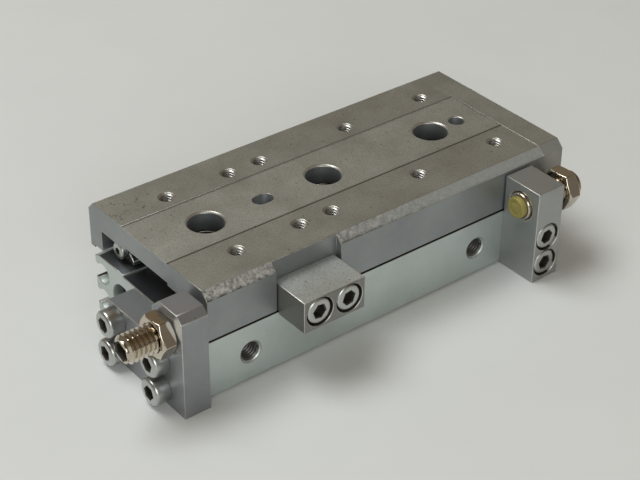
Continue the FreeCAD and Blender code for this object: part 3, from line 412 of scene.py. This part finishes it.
finish(turned("turned_aluminium", "#8f8f8d", "#b4b4b1", 0.9, 0.38), *on_both_sides("head_cap", "piston"))
finish(turned("turned_brass", "#a5823f", "#c9a561", 1.0, 0.3), *on_both_sides("rod_cover"))
finish(turned("oiled_spring_steel", "#2b2b2d", "#48484a", 0.8, 0.42),
       *on_both_sides("head_cap_ring", "rod_cover_ring"))
finish(turned("hard_chromed_rod", "#a8a9ab", "#c9cacc", 1.0, 0.14), *on_both_sides("piston_rod"))
finish(moulded("nitrile_rubber", "#161616", "#262523", 0.6),
       *on_both_sides("head_cap_seal", "rod_seal", "piston_seal"))
finish(moulded("bonded_magnet", "#2a2a2b", "#3a3938", 0.55), *on_both_sides("piston_magnet"))


# Crossed roller guide
# Hardened steel rails, ground lengthwise, with a V groove each. Polished bearing steel rollers
# sit in thin stainless cages between the V grooves, oiled.
def ground_steel(name, dark, light, roughness):
    """Ground hardened steel: grinding lines along X, coarser here than the real ones."""
    line_width, line_length = 0.22 * MM, 14 * MM
    material, tree, output, place = new_material(name)
    along = add_node(tree, "ShaderNodeMapping", {"Scale": (1 / line_length, 1 / line_width, 1 / line_width)},
                     {"Vector": place})
    lines = add_node(tree, "ShaderNodeTexNoise", {"Scale": 1.0, "Detail": 3.0}, {"Vector": along.outputs[0]})
    tone = add_node(tree, "ShaderNodeMix", {"data_type": "RGBA", 6: linear(dark), 7: linear(light)},
                    {0: lines.outputs["Fac"]})
    relief = add_node(tree, "ShaderNodeBump", {"Strength": 0.35, "Distance": 0.008 * MM},
                      {"Height": lines.outputs["Fac"]})
    metal = add_node(tree, "ShaderNodeBsdfPrincipled", {"Metallic": 1.0, "Roughness": roughness},
                     {"Base Color": tone.outputs[2], "Normal": relief.outputs[0]})
    tree.links.new(metal.outputs[0], output.inputs[0])
    return material


bare_edge = worn_edge("worn_aluminium_edge", "#a09e99", "#dddbd5")
rail_steel = ground_steel("ground_hardened_steel", "#8b8b8c", "#b5b5b6", 0.27)
RAIL_EDGE = 0.2 * MM
for node_name, body in (("centre_guide_rail", "cylinder_base"), ("near_guide_rail", "slide_table"),
                        ("far_guide_rail", "slide_table")):
    rail = working_copy(node_name, "ground_" + node_name)
    paint(rail, rail_steel, bare_edge)
    break_edges(rail, RAIL_EDGE)
    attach(rail, body)
    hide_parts(node_name)
finish(ground_steel("polished_bearing_steel", "#b4b4b5", "#d8d8d9", 0.12), *on_both_sides("rollers"))
finish(ground_steel("rolled_stainless_sheet", "#9a9996", "#bcbbb7", 0.32), *on_both_sides("roller_cage"))


# Socket screws
# Rolled and zinc plated steel cap screws with a rounded rim and a forged hexagon socket, whose
# inside is coloured dark as painted shade. Those on the rear plate stand proud, the others sit in
# counterbores.
def pick(kind, test):
    """Selects, in edit mode, the faces or edges whose middle passes the test."""
    bpy.ops.mesh.select_mode(type=kind)
    bpy.ops.mesh.select_all(action="DESELECT")
    mesh = bmesh.from_edit_mesh(bpy.context.object.data)
    for item in mesh.faces if kind == "FACE" else mesh.edges:
        middle = sum((vertex.co for vertex in item.verts), Vector()) / len(item.verts)
        item.select_set(bool(test(middle)))
    bmesh.update_edit_mesh(bpy.context.object.data)


def reach_of(point):
    """A point's distance from the Z axis."""
    return math.hypot(point.x, point.y)


def hexagon_socket(screw, flats, depth, top):
    """Cuts a hexagon socket with a lead-in and a drill point into the end of a screw."""
    cut(screw, bar(flats / math.sqrt(3), top - depth, 2 * depth, sides=6))
    make_active(screw)
    bpy.ops.object.mode_set(mode="EDIT")
    pick("EDGE", lambda middle: abs(middle.z - top) < 0.01 * MM and reach_of(middle) < flats * 0.56)
    bpy.ops.mesh.bevel(offset=flats * 0.09, segments=1, affect="EDGES")
    pick("FACE", lambda middle: abs(middle.z - top + depth) < 0.01 * MM and reach_of(middle) < flats * 0.3)
    bpy.ops.mesh.inset(thickness=flats * 0.1)
    bpy.ops.mesh.extrude_region_move(TRANSFORM_OT_translate={"value": (0, 0, -flats * 0.12)})
    bpy.ops.mesh.merge(type="COLLAPSE")
    bpy.ops.object.mode_set(mode="OBJECT")
    # The socket's inside takes the screw's second material, the painted shade.
    for face in screw.data.polygons:
        if reach_of(face.center) < flats * 0.6 and face.center.z < top - flats * 0.02:
            face.material_index = 1


def model_socket_screw(name, head, height, flats, shank, reach):
    """A socket head cap screw on the Z axis, with the underside of its head at the origin."""
    screw = bar(head, 0, height)
    screw.name = name
    bpy.ops.object.mode_set(mode="EDIT")
    pick("EDGE", lambda middle: middle.z > height * 0.99 and reach_of(middle) > head * 0.9)
    bpy.ops.mesh.bevel(offset=head * 0.24, segments=6, affect="EDGES")
    pick("EDGE", lambda middle: middle.z < height * 0.01 and reach_of(middle) > head * 0.9)
    bpy.ops.mesh.bevel(offset=head * 0.04, segments=2, affect="EDGES")
    pick("FACE", lambda middle: middle.z < height * 0.01 and reach_of(middle) < head * 0.5)
    bpy.ops.mesh.inset(thickness=head * 0.96 - shank)
    bpy.ops.mesh.extrude_region_move(TRANSFORM_OT_translate={"value": (0, 0, shank - reach)})
    bpy.ops.mesh.extrude_region_move(TRANSFORM_OT_translate={"value": (0, 0, -shank * 0.3)})
    bpy.ops.transform.resize(value=(0.7, 0.7, 1))
    bpy.ops.object.mode_set(mode="OBJECT")
    paint(screw, zinc_plate, socket_painted_shade)
    hexagon_socket(screw, flats, height * 0.5, height)
    make_active(screw)
    bpy.ops.object.shade_smooth_by_angle(angle=math.radians(32))
    return screw


def plated(name, dark, light, roughness, patch=1.6 * MM):
    """Plated steel: smooth, with cloudy patches in the plating."""
    material, tree, output, place = new_material(name)
    clouds = add_node(tree, "ShaderNodeTexNoise", {"Scale": 1 / patch, "Detail": 5.0, "Roughness": 0.6},
                      {"Vector": place})
    tone = add_node(tree, "ShaderNodeMix", {"data_type": "RGBA", 6: linear(dark), 7: linear(light)},
                    {0: clouds.outputs["Fac"]})
    gloss = add_node(tree, "ShaderNodeMapRange", {"To Min": roughness * 0.8, "To Max": roughness * 1.3},
                     {"Value": clouds.outputs["Fac"]})
    metal = add_node(tree, "ShaderNodeBsdfPrincipled", {"Metallic": 1.0},
                     {"Base Color": tone.outputs[2], "Roughness": gloss.outputs[0]})
    tree.links.new(metal.outputs[0], output.inputs[0])
    return material


zinc_plate = plated("zinc_plated_steel", "#b3b4b1", "#c3c4c1", 0.3)
# Painted shade, dark with brownish patches, for the insides of sockets and for counterbore walls.
socket_painted_shade = moulded("painted_shade_in_sockets", "#1d1b18", "#3b362e", 0.35)
screw_turn = math.radians(20.4)
m4_head, m4_height, m4_socket, m4_shank = 3.5 * MM, 4.0 * MM, 3.0 * MM, 1.77 * MM
m3_head, m3_height, m3_socket, m3_shank = 2.75 * MM, 3.0 * MM, 2.5 * MM, 1.34 * MM
m25_head, m25_height, m25_socket, m25_shank = 2.25 * MM, 1.6 * MM, 1.5 * MM, 1.1 * MM


def place_screws(node_name, body, model, places, direction):
    """Stands one copy of a screw at each place of a CAD node's screws, each turned differently."""
    for number, where in enumerate(places, 1):
        name = "%s_%d" % (node_name[:-1], number)
        screw = stand(model, name, where, direction, turn=screw_turn * number)
        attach(screw, body)
        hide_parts(node_name)


low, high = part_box("rear_plate_screws")
m4_rear = model_socket_screw("m4_by_16", m4_head, m4_height, m4_socket, m4_shank, high.x - low.x - m4_height)
place_screws("rear_plate_screws", "cylinder_base", m4_rear,
             [Vector((low.x + m4_height, y, z)) for y in (low.y + m4_head, high.y - m4_head)
              for z in (low.z + m4_head, high.z - m4_head)], REAR)
low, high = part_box("front_block_screws")
m4_front = model_socket_screw("m4_by_14", m4_head, m4_height, m4_socket, m4_shank, high.y - low.y - m4_height)
block_screw_places = [Vector(((low.x + high.x) / 2, low.y + m4_height, z))
                      for z in (low.z + m4_head, high.z - m4_head)]
place_screws("front_block_screws", "cylinder_base", m4_front, block_screw_places, NEAR)
low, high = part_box("stopper_screws")
m4_stopper = model_socket_screw("m4_by_12", m4_head, m4_height, m4_socket, m4_shank,
                                high.y - low.y - m4_height)
stopper_screw_places = [Vector((x, low.y + m4_height, (low.z + high.z) / 2))
                        for x in (low.x + m4_head, high.x - m4_head)]
place_screws("stopper_screws", "slide_table", m4_stopper, stopper_screw_places, NEAR)
low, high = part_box("end_plate_screws")
m3_plate = model_socket_screw("m3_by_10", m3_head, m3_height, m3_socket, m3_shank, high.x - low.x - m3_height)
top_screw_y = 9.0 * MM
place_screws("end_plate_screws", "slide_table", m3_plate,
             [Vector((high.x - m3_height, y, z)) for y, z in (
                 (low.y + m3_head, low.z + m3_head), (high.y - m3_head, low.z + m3_head),
                 (-top_screw_y, high.z - m3_head), (top_screw_y, high.z - m3_head))], FRONT)
low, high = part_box("rod_fixing_screws")
m3_rod = model_socket_screw("m3_by_10_rod", m3_head, m3_height, m3_socket, m3_shank,
                            high.x - low.x - m3_height)
place_screws("rod_fixing_screws", "slide_table", m3_rod,
             [Vector((high.x - m3_height, y, (low.z + high.z) / 2))
              for y in (low.y + m3_head, high.y - m3_head)], FRONT)
low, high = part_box("rail_end_screws")
rail_end_reach = 6.0 * MM
m25_rail = model_socket_screw("m2_5_by_6", m25_head, m25_height, m25_socket, m25_shank, rail_end_reach)
side_y = high.y - m25_head
rail_end_z = (low.z + high.z) / 2
for end, x, direction in (("rear", low.x + m25_height, REAR), ("front", high.x - m25_height, FRONT)):
    for side, y in (("near", -side_y), ("far", side_y)):
        screw = stand(m25_rail, "%s_%s_rail_end_screw" % (side, end), Vector((x, y, rail_end_z)), direction)
        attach(screw, "slide_table")
        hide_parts("rail_end_screws")
for model in (m4_rear, m4_front, m4_stopper, m3_plate, m3_rod, m25_rail):
    bpy.data.objects.remove(model)
finish(zinc_plate, "centre_rail_screws", "guide_rail_screws", "preload_set_screws")


# Rear adjuster plate and front adjuster block
# Milled from aluminium bar and anodised like the body, a shade darker. They carry the two
# adjusting screws, and socket screws hold them to the cylinder body.
def countersink(piece, radius, sink, where, direction):
    """Breaks a hole's mouth with a 45 degree cone, a sink deep."""
    inside, above = 0.08 * MM, 0.1 * MM
    bpy.ops.mesh.primitive_cone_add(vertices=96, radius1=radius - inside, radius2=radius + sink + above,
                                    depth=inside + sink + above)
    cone = bpy.context.object
    cone.data.transform(Matrix.Translation((0, 0, (above - sink - inside) / 2)))
    cone.data.transform(aim(where, direction))
    cut(piece, cone)


def shade_counterbores(piece, heads):
    """Paints shade on the counterbore walls round screw heads, whose undersides are given, in the dark socket
    colour.
    """
    wall_reach, past_seat = m4_head + 0.8 * MM, 0.2 * MM
    for head in heads:
        repaint(piece, socket_painted_shade, lambda face: abs(face.normal.y) < 0.3
                and face.center.y < head.y + past_seat
                and math.hypot(face.center.x - head.x, face.center.z - head.z) < wall_reach)


plate_anodising = anodised("matt_anodised_plate", "#9c9ea1", "#8f9194", 0.42)
block_anodising = anodised("satin_anodised_block", "#adafad", "#a0a2a2", 0.42)
screw_hole, screw_hole_sink = 3.6 * MM, 0.5 * MM
for node_name, face_finish in (("rear_adjuster_plate", plate_anodising),
                               ("front_adjuster_block", block_anodising)):
    plate = working_copy(node_name, "milled_" + node_name)
    paint(plate, face_finish, bare_edge, socket_painted_shade)
    if node_name == "front_adjuster_block":
        low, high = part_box("front_adjusting_screw")
        mouth = Vector((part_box(node_name)[0].x, (low.y + high.y) / 2, (low.z + high.z) / 2))
        countersink(plate, screw_hole, screw_hole_sink, mouth, REAR)
    break_edges(plate, EDGE)
    repaint(plate, bare_edge, lambda face: -0.9 < face.normal.x < -0.4)
    # Painted shade on the counterbore walls round the screw heads.
    shade_counterbores(plate, block_screw_places)
    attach(plate, "cylinder_base")
    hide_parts(node_name)


# Adjusting screws
# Hollow-ended set screws of nickel plated steel with a coarse thread. The outer end has a
# hexagon socket, the inner end holds the bumper in a smooth nose.
nickel = plated("nickel_plated_steel", "#b9ad9b", "#d8cfc0", 0.11, 3.5 * MM)
thread_crest, thread_depth, thread_pitch = 3.6 * MM, 0.72 * MM, 1.25 * MM
thread_root = thread_crest - thread_depth
nose_length, nose_radius = 1.6 * MM, 3.6 * MM
seat_radius, seat_depth = 2.85 * MM, 3.0 * MM
key_flats, key_depth = 4.0 * MM, 5.0 * MM


def model_adjusting_screw(name, length):
    """An adjusting screw up the Z axis from its nose at the origin."""
    screw = bar(thread_root + 0.05 * MM, 0, length)
    screw.name = name
    bpy.ops.object.mode_set(mode="EDIT")
    pick("EDGE", lambda middle: middle.z > length * 0.99 and reach_of(middle) > thread_root * 0.9)
    bpy.ops.mesh.bevel(offset=0.3 * MM, segments=2, affect="EDGES")
    bpy.ops.object.mode_set(mode="OBJECT")
    paint(screw, nickel, socket_painted_shade)
    nose = bar(nose_radius, 0, nose_length)
    paint(nose, nickel)
    bpy.ops.object.mode_set(mode="EDIT")
    pick("EDGE", lambda middle: middle.z < 0.01 * MM and reach_of(middle) > nose_radius * 0.9)
    bpy.ops.mesh.bevel(offset=0.45 * MM, segments=4, affect="EDGES")
    bpy.ops.object.mode_set(mode="OBJECT")
    apply_modifier(screw, "BOOLEAN", {"object": nose, "operation": "UNION", "solver": "EXACT"})
    bpy.data.objects.remove(nose)
    drill(screw, seat_radius, seat_depth, Vector((0, 0, 0)), Vector((0, 0, -1)), sides=64)
    hexagon_socket(screw, key_flats, key_depth, length)
    turns = int((length - nose_length) / thread_pitch)
    ridge = thread_ridge(name + "_thread", thread_root, thread_crest, thread_pitch, turns, nickel)
    ridge.data.transform(Matrix.Translation((0, 0, length - turns * thread_pitch)))
    for vertex in ridge.data.vertices:
        room_left = thread_root - 0.1 * MM + min(max(length - vertex.co.z, 0),
                                                 max(vertex.co.z - nose_length * 0.6, 0))
        vertex.co.z = min(vertex.co.z, length - 0.02 * MM)
        radius = reach_of(vertex.co)
        if radius > room_left:
            vertex.co.x *= room_left / radius
            vertex.co.y *= room_left / radius
    make_active(screw)
    ridge.select_set(True)
    bpy.ops.object.join()
    bpy.ops.object.shade_smooth_by_angle(angle=math.radians(32))
    return screw


def inner_end(low, high, outwards):
    """Where an adjuster's piece ends on its axis, on the side away from where it points."""
    return Vector((high.x if outwards == REAR else low.x, (low.y + high.y) / 2, (low.z + high.z) / 2))


adjusters = (("rear", REAR), ("front", FRONT))
for end, outwards in adjusters:
    low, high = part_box(end + "_adjusting_screw")
    nose = inner_end(low, high, outwards)
    model = model_adjusting_screw(end + "_screw_model", high.x - low.x)
    screw = stand(model, "threaded_%s_adjusting_screw" % end, nose, outwards, turn=math.radians(10))
    bpy.data.objects.remove(model)
    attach(screw, end + "_screw_body")
    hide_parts(end + "_adjusting_screw")


# Lock nuts
# Thin hexagon nuts, turned with a 30 degree chamfer on both faces and nickel plated. The rear
# one is tight on its plate, the front one stands off its block on its screw.
def model_nut(name, flats, height, hole):
    """A chamfered hexagon nut up the Z axis from the origin."""
    corner = flats / math.sqrt(3)
    face_radius = flats * 0.475
    chamfer = (corner - face_radius) * math.tan(math.radians(30))
    blank = bar(corner * 1.005, chamfer - height / 2, height - 2 * chamfer, sides=96)
    bpy.ops.object.mode_set(mode="EDIT")
    for way in (1, -1):
        pick("FACE", lambda middle: middle.z * way > height * 0.3 and reach_of(middle) < corner * 0.5)
        bpy.ops.mesh.extrude_region_move(TRANSFORM_OT_translate={"value": (0, 0, way * chamfer)})
        bpy.ops.transform.resize(value=(face_radius / corner, face_radius / corner, 1))
    bpy.ops.object.mode_set(mode="OBJECT")
    nut = bar(corner, -height * 0.6, height * 1.2, sides=6)
    nut.name = name
    cut(nut, blank, "INTERSECT")
    nut.data.transform(Matrix.Translation((0, 0, height / 2)))
    paint(nut, nickel, nickel)
    drill(nut, hole, height + 0.2 * MM, UP * height, UP, sides=64)
    break_edges(nut, 0.12 * MM, angle=25)
    return nut


nut_flats, nut_hole, nut_turn = 9.8 * MM, thread_crest + 0.05 * MM, math.radians(90)
for end, outwards in adjusters:
    low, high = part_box(end + "_lock_nut")
    model = model_nut(end + "_nut_model", nut_flats, high.x - low.x, nut_hole)
    nut = stand(model, "chamfered_%s_lock_nut" % end, inner_end(low, high, outwards), outwards, nut_turn)
    bpy.data.objects.remove(model)
    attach(nut, "cylinder_base" if end == "rear" else "front_screw_body")
    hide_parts(end + "_lock_nut")


# Bumpers
# Turned plugs of olive-yellow urethane, pressed into the screws' noses. They are slightly
# translucent, with a rounded rim and a shallow ring on the face from the lathe.
urethane, tree, output, place = new_material("olive_urethane")
cloud = add_node(tree, "ShaderNodeTexNoise", {"Scale": 1 / (1.5 * MM), "Detail": 3.0}, {"Vector": place})
tone = add_node(tree, "ShaderNodeMix", {"data_type": "RGBA", 6: linear("#80763c"), 7: linear("#a29856")},
                {0: cloud.outputs["Fac"]})
skin = add_node(tree, "ShaderNodeBsdfPrincipled", {"Roughness": 0.38, "Subsurface Weight": 0.4,
                                                   "Subsurface Radius": (1.0, 0.8, 0.2),
                                                   "Subsurface Scale": 0.6 * MM},
                {"Base Color": tone.outputs[2]})
tree.links.new(skin.outputs[0], output.inputs[0])
for end, outwards in adjusters:
    low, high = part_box(end + "_bumper")
    radius, length = (high.y - low.y) / 2, high.x - low.x
    bumper = bar(radius, -length, length)
    bpy.ops.object.mode_set(mode="EDIT")
    pick("EDGE", lambda middle: middle.z > -0.01 * MM and reach_of(middle) > radius * 0.9)
    bpy.ops.mesh.bevel(offset=0.35 * MM, segments=4, affect="EDGES")
    pick("FACE", lambda middle: middle.z > -0.01 * MM and reach_of(middle) < radius * 0.5)
    bpy.ops.mesh.inset(thickness=0.7 * MM)
    for depth in (-0.08 * MM, 0.08 * MM):
        bpy.ops.mesh.inset(thickness=0.15 * MM, depth=depth)
    bpy.ops.object.mode_set(mode="OBJECT")
    bpy.ops.object.shade_smooth_by_angle(angle=math.radians(35))
    paint(bumper, urethane)
    placed = stand(bumper, "turned_%s_bumper" % end, inner_end(low, high, outwards), -outwards)
    bpy.data.objects.remove(bumper)
    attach(placed, end + "_bumper_body")
    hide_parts(end + "_bumper")


# Table plate and its threads
# A channel of aluminium, machined, blasted and anodised. Its top is stained, with dirt settled in
# spots, and coloured warmer than its sides as a painted reflection of the brown ceiling; a line of
# painted shade and dirt runs along the centre strip's near step, and a painted highlight along its
# far step. Its near chamfer is scuffed through. Ten M4 x 0.7 holes are drilled, countersunk and
# tapped in its top, with bare, bright flanks.
def stained_top(name, dark, light, blotch, gutter=None):
    """An anodised top: stains between two tones, dusty grain, dark specks, a patch of dirt, and painted shade
    with dirt along a step.
    """
    material, tree, output, place = new_material(name)
    stains = add_node(tree, "ShaderNodeTexNoise", {"Scale": 1 / (13 * MM), "Detail": 7.0, "Roughness": 0.68},
                      {"Vector": place})
    spread = add_node(tree, "ShaderNodeMapRange", {"From Min": 0.3, "From Max": 0.7},
                      {"Value": stains.outputs["Fac"]})
    tone = add_node(tree, "ShaderNodeMix", {"data_type": "RGBA", 6: linear(dark), 7: linear(light)},
                    {0: spread.outputs[0]})
    grain = add_node(tree, "ShaderNodeTexNoise", {"Scale": 1 / (0.4 * MM), "Detail": 3.0},
                     {"Vector": place})
    dust = add_node(tree, "ShaderNodeMapRange", {"From Min": 0.5, "From Max": 0.68, "To Max": 0.5},
                    {"Value": grain.outputs["Fac"]})
    mottled = add_node(tree, "ShaderNodeMix", {"data_type": "RGBA", 7: linear(blotch)},
                       {0: dust.outputs[0], 6: tone.outputs[2]})
    specks = add_node(tree, "ShaderNodeTexVoronoi", {"Scale": 1 / (2.6 * MM)}, {"Vector": place})
    speck = add_node(tree, "ShaderNodeMapRange", {"From Min": 0.1, "From Max": 0.055, "To Max": 0.75},
                     {"Value": specks.outputs["Distance"]})
    rare = add_node(tree, "ShaderNodeSeparateColor", links={0: specks.outputs["Color"]})
    chosen = add_node(tree, "ShaderNodeMath", {"operation": "GREATER_THAN", 1: 0.5}, {0: rare.outputs[0]})
    spot = add_node(tree, "ShaderNodeMath", {"operation": "MULTIPLY"},
                    {0: speck.outputs[0], 1: chosen.outputs[0]})
    spotted = add_node(tree, "ShaderNodeMix", {"data_type": "RGBA", 7: linear("#2e2a26")},
                       {0: spot.outputs[0], 6: mottled.outputs[2]})
    dirt_centre, dirt_reach = Vector((-47.0, 16.0, 29.0)) * MM, Vector((12.0, 8.0, 30.0)) * MM
    nearness = add_node(tree, "ShaderNodeMapping", {
        "Location": [-c / r for c, r in zip(dirt_centre, dirt_reach)],
        "Scale": [1 / r for r in dirt_reach]}, {"Vector": place})
    away = add_node(tree, "ShaderNodeVectorMath", {"operation": "LENGTH"}, {0: nearness.outputs[0]})
    here = add_node(tree, "ShaderNodeMapRange", {"From Min": 1.0, "From Max": 0.2},
                    {"Value": away.outputs["Value"]})
    clots = add_node(tree, "ShaderNodeTexNoise", {"Scale": 1 / (1.5 * MM), "Detail": 6.0, "Roughness": 0.7},
                     {"Vector": place})
    clot = add_node(tree, "ShaderNodeMapRange", {"From Min": 0.56, "From Max": 0.66, "To Max": 0.85},
                    {"Value": clots.outputs["Fac"]})
    smear = add_node(tree, "ShaderNodeMath", {"operation": "MULTIPLY"},
                     {0: here.outputs[0], 1: clot.outputs[0]})
    colour = add_node(tree, "ShaderNodeMix", {"data_type": "RGBA", 7: linear("#3a332c")},
                      {0: smear.outputs[0], 6: spotted.outputs[2]})
    # Painted shade, with dirt: a dark line on the recessed strip along its near step.
    if gutter is not None:
        split = add_node(tree, "ShaderNodeSeparateXYZ", links={0: place})
        offset = add_node(tree, "ShaderNodeMath", {"operation": "SUBTRACT", 1: gutter},
                          {0: split.outputs["Y"]})
        near_gutter = add_node(tree, "ShaderNodeMapRange", {"From Min": 1.1 * MM, "From Max": 0.75 * MM},
                               {"Value": offset.outputs[0]})
        step_shade_and_dirt = add_node(tree, "ShaderNodeMath", {"operation": "MULTIPLY", 1: 0.8},
                          {0: near_gutter.outputs[0]})
        colour = add_node(tree, "ShaderNodeMix", {"data_type": "RGBA", 7: linear("#37322b")},
                          {0: step_shade_and_dirt.outputs[0], 6: colour.outputs[2]})
    relief = add_node(tree, "ShaderNodeBump", {"Strength": 0.35, "Distance": 0.012 * MM},
                      {"Height": grain.outputs["Fac"]})
    gloss = add_node(tree, "ShaderNodeMapRange", {"To Min": 0.4, "To Max": 0.56},
                     {"Value": stains.outputs["Fac"]})
    metal = add_node(tree, "ShaderNodeBsdfPrincipled", {"Metallic": 0.8},
                     {"Base Color": colour.outputs[2], "Roughness": gloss.outputs[0],
                      "Normal": relief.outputs[0]})
    tree.links.new(metal.outputs[0], output.inputs[0])
    return material


def scuffed_chamfer():
    """The table's top chamfers: scuffed to pale bare metal, with dirt in it, most at the rear."""
    material, tree, output, place = new_material("scuffed_aluminium_chamfer")
    scuffs = add_node(tree, "ShaderNodeTexNoise", {"Scale": 1 / (1.3 * MM), "Detail": 8.0, "Roughness": 0.75},
                      {"Vector": place})
    hard = add_node(tree, "ShaderNodeMapRange", {"From Min": 0.4, "From Max": 0.6},
                    {"Value": scuffs.outputs["Fac"]})
    rough_tone = add_node(tree, "ShaderNodeMix",
                          {"data_type": "RGBA", 6: linear("#8a8a88"), 7: linear("#e2e3e2")},
                          {0: hard.outputs[0]})
    split = add_node(tree, "ShaderNodeSeparateXYZ", links={0: place})
    rearwards = add_node(tree, "ShaderNodeMapRange",
                         {"From Min": 20 * MM, "From Max": -25 * MM, "To Min": 0.15, "To Max": 0.9},
                         {"Value": split.outputs["X"]})
    tone = add_node(tree, "ShaderNodeMix", {"data_type": "RGBA", 6: linear("#c2c9ca")},
                    {0: rearwards.outputs[0], 7: rough_tone.outputs[2]})
    chamfer_foot = table_top - table_chamfer
    low_edge = add_node(tree, "ShaderNodeMapRange",
                        {"From Min": chamfer_foot + 0.55 * MM, "From Max": chamfer_foot + 0.1 * MM},
                        {"Value": split.outputs["Z"]})
    dirt = add_node(tree, "ShaderNodeTexNoise", {"Scale": 1 / (2.2 * MM), "Detail": 5.0}, {"Vector": place})
    patches = add_node(tree, "ShaderNodeMapRange", {"From Min": 0.38, "From Max": 0.56},
                       {"Value": dirt.outputs["Fac"]})
    low_patches = add_node(tree, "ShaderNodeMath", {"operation": "MULTIPLY"},
                           {0: low_edge.outputs[0], 1: patches.outputs[0]})
    dirty = add_node(tree, "ShaderNodeMath", {"operation": "MULTIPLY"},
                     {0: low_patches.outputs[0], 1: rearwards.outputs[0]})
    colour = add_node(tree, "ShaderNodeMix", {"data_type": "RGBA", 7: linear("#2f2c29")},
                      {0: dirty.outputs[0], 6: tone.outputs[2]})
    relief = add_node(tree, "ShaderNodeBump", {"Strength": 0.6, "Distance": 0.05 * MM},
                      {"Height": scuffs.outputs["Fac"]})
    metal = add_node(tree, "ShaderNodeBsdfPrincipled", {"Metallic": 0.8, "Roughness": 0.5},
                     {"Base Color": colour.outputs[2], "Normal": relief.outputs[0]})
    tree.links.new(metal.outputs[0], output.inputs[0])
    return material


THIN_EDGE = 0.07 * MM
table_top, table_chamfer, chamfer_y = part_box("table_plate")[1].z, 2.1 * MM, 22 * MM
strip_depth, strip_near_edge, strip_far_edge = 0.35 * MM, -9.5 * MM, 10.2 * MM
strip_top, step_reach = table_top - strip_depth, 0.3 * MM
access_hole, access_hole_sink, dowel_hole, dowel_hole_sink = 4.5 * MM, 0.4 * MM, 2.0 * MM, 0.25 * MM
m4_major, m4_minor, m4_pitch = 1.9 * MM, 1.56 * MM, 0.7 * MM
m4_tapped_depth, m4_thread_depth, m4_sink = 5.4 * MM, 5.2 * MM, 0.22 * MM
tapped = tapped_wall("tapped_aluminium", "#8f8d89", "#d8d6d2")
table_anodising = anodised("matt_anodised_table", "#a0a4a5", "#929697", 0.45)
# Painted reflection: the top's and the strip's colours are warmer than the sides', for the brown ceiling they
# reflect.
table_top_stains_and_reflection = stained_top("stained_top_with_painted_warm_reflection", "#98968e", "#aaa9a1", "#6c6a62")
centre_strip = stained_top("stained_strip_with_painted_warm_reflection", "#a3a29a", "#b7b8b0", "#6e6c63", strip_near_edge)
table_scuffed = scuffed_chamfer()
table = working_copy("table_plate", "machined_table_plate")
paint(table, table_anodising, dull_edge, table_top_stains_and_reflection, table_scuffed, centre_strip, bare_edge)
hole_thread = thread_ridge("m4_thread_model", m4_major, m4_minor, m4_pitch, 7, tapped)
tapped_places = []
for mount_name in ("table_corner_threads", "table_middle_threads", "table_pair_threads"):
    mount = find_mount(mount_name)
    half_x, half_y = [mount["dims"].get("spacing_%s_mm" % across, 0) / 2 * MM for across in "xy"]
    for x in sorted({-half_x, half_x}):
        for y in (-half_y, half_y):
            tapped_places.append(Vector(mount["pos_m"]) + Vector((x, y, 0)))
for number, mouth in enumerate(tapped_places, 1):
    mouth.z = table_top
    drill(table, m4_major, m4_tapped_depth, mouth, UP, sides=40)
    countersink(table, m4_major, m4_sink, mouth, UP)
    thread = stand(hole_thread, "table_thread_%d" % number, mouth - UP * m4_thread_depth, UP)
    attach(thread, "slide_table")
bpy.data.objects.remove(hole_thread)
for mount_name, hole, sink in (("body_rear_hole", access_hole, access_hole_sink),
                               ("body_middle_hole", access_hole, access_hole_sink),
                               ("body_front_hole", access_hole, access_hole_sink),
                               ("table_dowel_hole", dowel_hole, dowel_hole_sink)):
    countersink(table, hole, sink, Vector((find_mount(mount_name)["pos_m"][0], 0, strip_top)), UP)
break_edges(table, THIN_EDGE)
repaint(table, table_top_stains_and_reflection, lambda face: face.normal.z > 0.99
        and face.center.z > table_top - strip_depth / 2)
repaint(table, centre_strip, lambda face: face.normal.z > 0.99
        and face.center.z > strip_top - strip_depth / 2)
# Painted highlight: along the strip's far step, the rounded edge gets the brighter edge colour for the light
# it catches.
repaint(table, bare_edge, lambda face: abs(face.center.y - strip_far_edge) < step_reach
        and face.center.z > strip_top, instead_of=1)
repaint(table, table_scuffed, lambda face: 0.4 < face.normal.z < 0.9 and abs(face.center.y) > chamfer_y)
repaint(table, bare_edge, lambda face: 0.4 < face.normal.z < 0.9)
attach(table, "slide_table")
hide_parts("table_plate")


# End plate and stopper block
# The end plate is bolted to the table's front, the stopper block sits in a pocket on its near
# side. Both are milled and anodised like the table and less worn.
end_chamfer_y, chamfer_rim = -22.5 * MM, 0.1 * MM
end_anodising = anodised("matt_anodised_end_plate", "#a19f9a", "#93918c", 0.45)
end_chamfer = anodised("rubbed_end_plate_chamfer", "#b9bfbd", "#adb3b1", 0.45)
stopper_anodising = anodised("matt_anodised_stopper", "#8f8e8a", "#84837f", 0.44)
end_top = stained_top("stained_end_plate_top", "#999990", "#aaaba2", "#6b685f")
stopper_top = stained_top("handled_stopper_top", "#b9bdba", "#cbd0ce", "#83817b")
for node_name, face_finish, edge_finish, top_finish, edge_width in (
        ("end_plate", end_anodising, dull_edge, end_top, THIN_EDGE),
        ("stopper_block", stopper_anodising, bare_edge, stopper_top, EDGE)):
    block = working_copy(node_name, "milled_" + node_name)
    paint(block, face_finish, edge_finish, top_finish, bare_edge, socket_painted_shade, end_chamfer)
    break_edges(block, edge_width)
    repaint(block, bare_edge, lambda face: face.center.y < end_chamfer_y
            and table_top - table_chamfer < face.center.z < table_top - chamfer_rim, instead_of=1)
    repaint(block, top_finish, lambda face: face.normal.z > 0.99
            and face.center.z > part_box(node_name)[1].z - chamfer_rim)
    # Painted shade on the counterbore walls round the screw heads.
    shade_counterbores(block, stopper_screw_places)
    repaint(block, end_chamfer, lambda face: 0.4 < face.normal.z < 0.9)
    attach(block, "slide_table")
    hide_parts(node_name)
